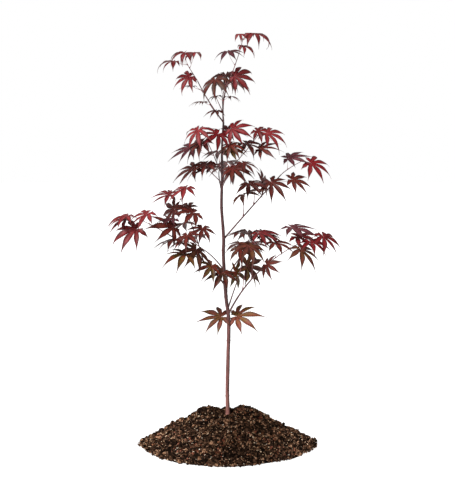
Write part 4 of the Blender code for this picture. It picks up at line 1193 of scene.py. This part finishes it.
def soil_height(x, y, lumps):
    """Height of the soil: the heap's own height, raised and lowered by noise of three sizes,
    calmer towards the rim."""
    height = heap_top(x, y, lumps)
    rim = np.clip(2 * (RIM_STILL - heap_share(x, y)), RIM_LEAST, 1.0)
    for seed, (pitch, size) in enumerate(SOIL_ROUGH, SOIL_SEED):
        height = height + size * rim * rough(x, y, pitch, seed)
    return np.maximum(height, SOIL_FLOOR)


def soil_edge(angle):
    """The heap's foot at each angle, its corner at the back worn round: drawn in by a share
    that falls off as a bell on both sides of straight back."""
    x, y = heap_edge(angle)
    off = (np.mod(angle, 2 * np.pi) - np.pi / 2) / BACK_CORNER
    worn = 1 - BACK_WEAR * np.exp(-off**2)
    return x * worn, y * worn


def build_heap(lumps, surface):
    """Soil heap: rings from the middle of the underside out to the rim and in over the top."""
    edge_x, edge_y = soil_edge(turns(SOIL_SPOKES))
    edge = RIM_SHARE
    for seed, (pitch, size) in enumerate(RIM_ROUGH, RIM_SEED):
        edge = edge - size * rough(edge_x, edge_y, pitch, seed)
    share = np.linspace(1.0, SOIL_MIDDLE, SOIL_RINGS)[:, None]
    x, y = edge_x * edge * share, edge_y * edge * share
    top = soil_height(x, y, lumps)
    top[0] = RIM_HEIGHT
    under = np.stack((x[[-1, 0]], y[[-1, 0]], np.zeros((2, SOIL_SPOKES))), -1)
    rings = np.concatenate((under, np.stack((x, y, top), -1)))
    piece = add_piece("soil_heap", *lofts(rings), surface, "potting_soil")
    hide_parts("root_ball")


def crumb_form():
    """An icosahedron: twelve corners at unit reach and twenty faces."""
    g = (1 + math.sqrt(5)) / 2
    rectangle = [(a, b * g) for a in (1, -1) for b in (1, -1)]
    corners = np.array([(0, a, b) for a, b in rectangle] + [(a, b, 0) for a, b in rectangle]
                       + [(b, 0, a) for a, b in rectangle], float)
    corners /= np.linalg.norm(corners[0])
    near = np.linalg.norm(corners[:, None] - corners[None], axis=2)
    touch = near < near[near > 0].min() * 1.01
    faces = [(i, j, k) for i, j, k in combinations(range(12), 3)
             if touch[i, j] and touch[j, k] and touch[i, k]]
    outward = [face if np.linalg.det(corners[list(face)]) > 0 else face[::-1] for face in faces]
    return corners, np.array(outward)


def clod_form():
    """Twenty-six corners of a cube of eight small cubes, drawn in towards a ball, and its
    twenty-four four-cornered faces."""
    span = (-1, 0, 1)
    cells = [(x, y, z) for x in span for y in span for z in span if (x, y, z) != (0, 0, 0)]
    where = {cell: k for k, cell in enumerate(cells)}
    faces = []
    for axis, sign, p, q in product(range(3), (-1, 1), (-1, 0), (-1, 0)):
        square = [(p, q), (p + 1, q), (p + 1, q + 1), (p, q + 1)][::sign]
        corners = []
        for a, b in square:
            cell = [0, 0, 0]
            cell[axis], cell[(axis + 1) % 3], cell[(axis + 2) % 3] = sign, a, b
            corners.append(where[tuple(cell)])
        faces.append(corners)
    corners = np.array(cells, float)
    reach = np.linalg.norm(corners, axis=1)[:, None]
    return corners / reach ** CLOD_ROUNDING * CLOD_REACH, np.array(faces)


def turned(count, dice):
    """Seeded rotation matrices, evenly spread."""
    w, x, y, z = dice.normal(size=(4, count))
    scale = 1 / np.sqrt(w * w + x * x + y * y + z * z)
    w, x, y, z = w * scale, x * scale, y * scale, z * scale
    rows = ((1 - 2 * (y * y + z * z), 2 * (x * y - w * z), 2 * (x * z + w * y)),
            (2 * (x * y + w * z), 1 - 2 * (x * x + z * z), 2 * (y * z - w * x)),
            (2 * (x * z - w * y), 2 * (y * z + w * x), 1 - 2 * (x * x + y * y)))
    return np.moveaxis(np.array(rows), 2, 0)


def scattered(count, span, lumps, dice):
    """Seeded places on the heap, even over its plan between two shares of its reach."""
    turn = dice.uniform(0, 2 * np.pi, count)
    share = np.sqrt(dice.uniform(span[0] ** 2, span[1] ** 2, count))
    edge_x, edge_y = soil_edge(turn)
    x, y = edge_x * share, edge_y * share
    clear = np.hypot(x, y) > TRUNK_CLEAR
    return np.stack((x, y, soil_height(x, y, lumps)), -1)[clear]


def copies(form, places, radius, grain, sink, dice):
    """Many copies of a form as one mesh: each is stretched, its corners pushed in or out by
    the jitter, turned at random and sunk a share of its radius into the soil. None reaches
    below the ground or past the front of the model's box."""
    corners, faces = form
    count = len(places)
    push = 1 + dice.uniform(-grain.jitter, grain.jitter, (count, len(corners), 1))
    stretch = dice.uniform(*grain.shape, (count, 1, 3)) * radius[:, None, None]
    local = corners[None] * push * stretch
    points = np.einsum("nij,nvj->nvi", turned(count, dice), local) + places[:, None]
    points[..., 2] -= (sink * radius)[:, None]
    low = points[..., 2].min(axis=1)
    points[..., 2] += np.maximum(GROUND_GAP - low, 0.0)[:, None]
    front = points[..., 1].min(axis=1)
    points[..., 1] += np.maximum(cad_box[0][1] + GAP - front, 0.0)[:, None]
    at = np.arange(count)[:, None, None] * len(corners)
    return points.reshape(-1, 3), [(faces[None] + at).reshape(-1, faces.shape[1])]


def build_soil(surfaces):
    """The heap, and on it clods, crumbs, chips of bark, perlite and fibres."""
    lumps = plan_lumps()
    build_heap(lumps, surfaces["heap"])
    clod, crumb = clod_form(), crumb_form()
    for name, grain in GRAINS.items():
        dice = np.random.default_rng(grain.seed)
        places = scattered(grain.count, grain.span, lumps, dice)
        if name == "clods_ridge":
            places = places[places[:, 1] > RIDGE_LINE]
        if name == "clods_red":
            places = places[rough(places[:, 0], places[:, 1], RED_PATCH, RED_SEED) > 0.0]
        rounded = name.startswith("clods")
        least, greatest = grain.size
        spread = dice.beta(*CLOD_SIZES, len(places)) if rounded else dice.random(len(places))
        radius = least + (greatest - least) * spread
        form, sink, crease = (clod, CLOD_SINK, CLOD_CREASE) if rounded else (crumb, 0.0, None)
        mesh = copies(form, places, radius, grain, sink, dice)
        add_piece(name, *mesh, surfaces[name], "potting_soil", crease)
    build_fibres(lumps, surfaces["fibres"])


def build_fibres(lumps, surface):
    """Thin root and peat fibres: short bent arcs that lie on the soil."""
    dice = np.random.default_rng(FIBRE_SEED)
    places = scattered(FIBRES, FIBRE_SPAN, lumps, dice)
    share = np.linspace(-0.5, 0.5, FIBRE_STATIONS)[:, None]
    parts = []
    for place in places:
        onward = heading(dice.uniform(0, 360), 0.0)
        beside = np.cross(UP, onward)
        length = dice.uniform(*FIBRE_LENGTH)
        bow = dice.normal(0, FIBRE_BOW) * length
        line = place + onward * share * length + beside * bow * share ** 2
        line[:, 2] = soil_height(line[:, 0], line[:, 1], lumps) + dice.uniform(*FIBRE_LIFT)
        radius = dice.uniform(*FIBRE_RADIUS) * (FIBRE_TAPER - np.abs(share[:, 0]))
        parts.append(lofts(round_path(line, radius, FIBRE_SIDES, UP)))
    add_piece("fibres", *together(parts), surface, "potting_soil")


# ============================================================ finishes

def linear(hex_colour, depth=1.0):
    """Linear RGB and alpha of an sRGB hex colour, its light multiplied by a depth."""
    values = [int(hex_colour[k:k + 2], 16) / 255 for k in (1, 3, 5)]
    low = [v / 12.92 if v <= 0.04045 else ((v + 0.055) / 1.055) ** 2.4 for v in values]
    return (*(depth * v for v in low), 1.0)


def fit(node, stops=(), depth=1.0, **values):
    """Sets and links a node. A key is one of its settings or an input's identifier, with _ for
    a space, and a value that is a socket is linked. A ramp's stops are (place, sRGB hex), their
    light times the depth."""
    inputs = {socket.identifier.replace(" ", "_"): socket for socket in node.inputs}
    for key, value in values.items():
        if key not in inputs:
            setattr(node, key, value)
        elif isinstance(value, bpy.types.NodeSocket):
            node.id_data.links.new(value, inputs[key])
        else:
            inputs[key].default_value = value
    if stops:
        points = node.color_ramp.elements
        while len(points) < len(stops):
            points.new(0.5)
        for point, (place, colour) in zip(points, stops):
            point.position = place
            point.color = linear(colour, depth)


def add_node(tree, kind, output=0, **values):
    """A new node, set and linked by `fit`, as the output that is asked for."""
    node = tree.nodes.new(f"ShaderNode{kind}")
    fit(node, **values)
    return node.outputs[output]


def finish_of(name, roughness, specular=0.5):
    """A material, its Principled shader, what adds a node to it, and the Object coordinates."""
    made = bpy.data.materials.new(name)
    made.use_nodes = True
    shader = made.node_tree.nodes["Principled BSDF"]
    fit(shader, Roughness=roughness, Specular_IOR_Level=specular)
    add = partial(add_node, made.node_tree)
    return made, shader, add, add("TexCoord", "Object")


def young_trunk_bark():
    """Smooth young maple bark, grown and a little weathered: a satin purple-brown, paler and
    pinker at the foot, with painted shade on the side that faces +X, away from the key light,
    and streaks a millimetre wide up the stem."""
    made, shader, add, where = finish_of("young_trunk_bark", 0.50, 0.35)
    upward = add("Mapping", Vector=where, Scale=(1, 1, 1 / 14))
    streak = add("TexNoise", Vector=upward, Scale=1 / (1.2 * MM), Detail=3.0)
    upward = add("Mapping", Vector=where, Scale=(1, 1, 1 / 3))
    patch = add("TexNoise", Vector=upward, Scale=1 / (12 * MM), Detail=3.0)
    height = add("Math", operation="MULTIPLY_ADD", Value=patch, Value_001=0.16,
                 Value_002=add("SeparateXYZ", "Z", Vector=where))
    colour = add("ValToRGB", Fac=height, stops=(
        (0.14, "#A8746A"), (0.20, "#8A5650"), (0.36, "#744542"), (0.62, "#5C3636"),
        (0.86, "#4E2C2E")))
    dark = add("ValToRGB", Fac=streak, stops=((0.36, "#746260"), (0.62, "#FFFFFF")))
    colour = add("MixRGB", blend_type="MULTIPLY", Fac=0.85, Color1=colour, Color2=dark)
    # painted shade: the bark darkens as its face turns towards +X, the side away from the key light
    faces = add("SeparateXYZ", "X", Vector=add("NewGeometry", "Normal"))
    painted_side_shade = add("ValToRGB", Fac=faces, stops=((0.05, "#FFFFFF"), (0.85, "#7C6A68")))
    colour = add("MixRGB", blend_type="MULTIPLY", Fac=1.0, Color1=colour, Color2=painted_side_shade)
    relief = add("Bump", Height=streak, Distance=0.4 * MM, Strength=0.6)
    fit(shader, Base_Color=colour, Normal=relief)
    return made


def young_bough_bark():
    """Bark of the last two years, still thin and smooth: a greyish purple-brown with a satin
    bloom and fine lengthwise streaks."""
    made, shader, add, where = finish_of("young_bough_bark", 0.46, 0.35)
    upward = add("Mapping", Vector=where, Scale=(1, 1, 1 / 5))
    streak = add("TexNoise", Vector=upward, Scale=1 / (1.1 * MM), Detail=3.0)
    patch = add("TexNoise", Vector=where, Scale=1 / (18 * MM), Detail=3.0)
    colour = add("ValToRGB", Fac=patch,
                 stops=((0.35, "#4E2E2E"), (0.52, "#5E3A3A"), (0.68, "#6C4846")))
    dark = add("ValToRGB", Fac=streak, stops=((0.36, "#907C7C"), (0.62, "#FFFFFF")))
    colour = add("MixRGB", blend_type="MULTIPLY", Fac=0.7, Color1=colour, Color2=dark)
    relief = add("Bump", Height=streak, Distance=0.3 * MM, Strength=0.5)
    fit(shader, Base_Color=colour, Normal=relief)
    return made


def green_wood(name, dark, fair, roughness):
    """This year's shoots, petioles, ribs and buds: thin waxy skin over green wood, flushed red.
    It is smoother than bark and shifts in colour every centimetre or so."""
    made, shader, add, where = finish_of(name, roughness)
    patch = add("TexNoise", Vector=where, Scale=1 / (10 * MM), Detail=3.0)
    fit(shader, Base_Color=add("ValToRGB", Fac=patch, stops=((0.35, dark), (0.65, fair))))
    return made


def leaf_skin(name, depth, dark, fair, flush, under):
    """Leaf skin, a thin wax over coloured tissue: soft satin, clouded between two shades over a
    centimetre, flushed with a third over two, speckled by its cells, duller underneath, and
    dark along the margins and towards the tips."""
    made, shader, add, where = finish_of(f"skin_of_{name}", 0.50, 0.22)
    cloud = add("TexNoise", Vector=where, Scale=1 / (12 * MM), Detail=3.0)
    cells = add("TexNoise", Vector=where, Scale=1 / (1.1 * MM), Detail=2.0)
    shade = add("Math", operation="MULTIPLY_ADD", Value=cells, Value_001=0.25, Value_002=cloud)
    upper = add("ValToRGB", Fac=shade, stops=((0.46, dark), (0.80, fair)), depth=depth)
    spread = add("TexNoise", Vector=where, Scale=1 / (21 * MM), Detail=3.0)
    spread = add("ValToRGB", Fac=spread, stops=((0.45, "#000000"), (0.62, "#FFFFFF")))
    upper = add("MixRGB", Fac=spread, Color1=upper, Color2=linear(flush, depth))
    margin = add("ValToRGB", Fac=add("Attribute", "Fac", attribute_name="margin"),
                 stops=((0.15, "#FFFFFF"), (0.95, "#957C7A")))
    upper = add("MixRGB", blend_type="MULTIPLY", Fac=1.0, Color1=upper, Color2=margin)
    faces = add("SeparateXYZ", "Z", Vector=add("NewGeometry", "Normal"))
    turned_down = add("ValToRGB", Fac=faces, stops=((0.0, "#FFFFFF"), (0.02, "#000000")))
    colour = add("MixRGB", Fac=turned_down, Color1=upper, Color2=linear(under, depth))
    relief = add("Bump", Height=cells, Distance=0.2 * MM, Strength=0.35)
    fit(shader, Base_Color=colour, Normal=relief)
    return made


def soil_crumb(name, stops, brightness=SOIL_BRIGHTNESS):
    """Peat, bark and grit, broken by hand: rough and matt. Each crumb is a shade of its own,
    because the cells that deal the colours are as wide as a crumb. Painted shade darkens a band
    over the heap's middle, and its two sides are painted lighter."""
    made, shader, add, where = finish_of(name, 0.9, 0.0)
    dealt = add("TexVoronoi", "Color", Vector=where, Scale=1 / (4.4 * MM))
    fine = add("Mapping", Vector=where, Scale=[1 / (0.9 * MM)] * 3)
    grit = add("TexNoise", Vector=fine, Scale=1.0, Detail=3.0)
    shade = add("Math", operation="MULTIPLY_ADD", Value=add("SeparateColor", Color=dealt),
                Value_001=0.55, Value_002=grit)
    colour = add("ValToRGB", Fac=shade, stops=tuple(zip(CRUMB_STOPS, stops)), depth=brightness)
    # painted shade: darker in a band about x = 0.04, and painted light on both sides of it
    aside = add("Mapping", Vector=where, Location=(-SHADE_BAND_MIDDLE, 0.0, 0.0),
                Scale=(1.0, SHADE_BAND_SQUASH, 0.0))
    aside = add("VectorMath", "Value", operation="LENGTH", Vector=aside)
    painted_band_shade = add("ValToRGB", Fac=aside, stops=tuple(zip(SHADE_BAND_SPAN, ("#C2C0BE", "#FFFFFF"))))
    colour = add("MixRGB", blend_type="MULTIPLY", Fac=1.0, Color1=colour, Color2=painted_band_shade)
    relief = add("Bump", Height=grit, Distance=0.5 * MM, Strength=0.8)
    fit(shader, Base_Color=colour, Normal=relief)
    return made


def studio_floor():
    """Seamless paper lit from below as well, so that it stays white round the plant and a
    shadow on it is faint."""
    made, shader, *_ = finish_of("lit_paper", 0.95, 0.1)
    fit(shader, Base_Color=linear("#A8A8A8"), Emission_Color=linear("#FFFFFF"),
        Emission_Strength=FLOOR_GLOW)
    return made


# ============================================================ studio

def lay_floor():
    """Paper that reaches past the view on every side."""
    mesh = bpy.data.meshes.new("floor")
    square = ((-1, -1), (1, -1), (1, 1), (-1, 1))
    corners = [(x * FLOOR_REACH, y * FLOOR_REACH, 0) for x, y in square]
    mesh.from_pydata(corners, [], [(0, 1, 2, 3)])
    mesh.materials.append(studio_floor())
    floor = add_object("floor", mesh)


def light_surroundings():
    """Even white surroundings that dim towards the ceiling."""
    world = bpy.data.worlds.new("studio")
    world.use_nodes = True
    add = partial(add_node, world.node_tree)
    height = add("SeparateXYZ", "Z", Vector=add("TexCoord", "Generated"))
    shade = add("ValToRGB", Fac=height, stops=SURROUNDINGS)
    fit(world.node_tree.nodes["Background"], Color=shade)
    bpy.context.scene.world = world


def hang_key_light():
    """A large soft light from the upper left and front."""
    data = bpy.data.lights.new("key", "SUN")
    data.energy, data.angle = KEY_LIGHT, math.radians(KEY_SPREAD)
    lamp = add_object("key", data)
    lamp.rotation_euler = [math.radians(turn) for turn in KEY_TURN]


def place_camera():
    """The camera, tilted a little down, and colours shown as they are."""
    data = bpy.data.cameras.new("camera")
    data.lens, data.sensor_width = CAMERA_LENS, CAMERA_SENSOR
    camera = add_object("camera", data)
    camera.location = CAMERA_PLACE
    camera.rotation_euler = (math.radians(CAMERA_TILT), 0.0, 0.0)
    bpy.context.scene.camera = camera
    bpy.context.scene.view_settings.view_transform = "Standard"


def main():
    lay_floor()
    light_surroundings()
    hang_key_light()
    place_camera()
    limbs = plan_limbs()
    sprays = plan_sprays(limbs)
    leaves = [leaf for _, many in sprays.values() for leaf in many]
    build_bark(limbs, young_trunk_bark(), young_bough_bark())
    build_twigs(sprays, green_wood("this_years_shoot", "#5A2B31", "#7C4243", 0.42))
    build_petioles(leaves, green_wood("petiole_skin", "#6E2A32", "#94484A", 0.40))
    build_buds(sprays, green_wood("bud_scales", "#5E2226", "#8A3A38", 0.45))
    build_leaves(leaves, green_wood("leaf_rib", "#7A2A30", "#A34A4A", 0.45))
    build_soil({name: soil_crumb(*values) for name, values in SOILS.items()})


main()
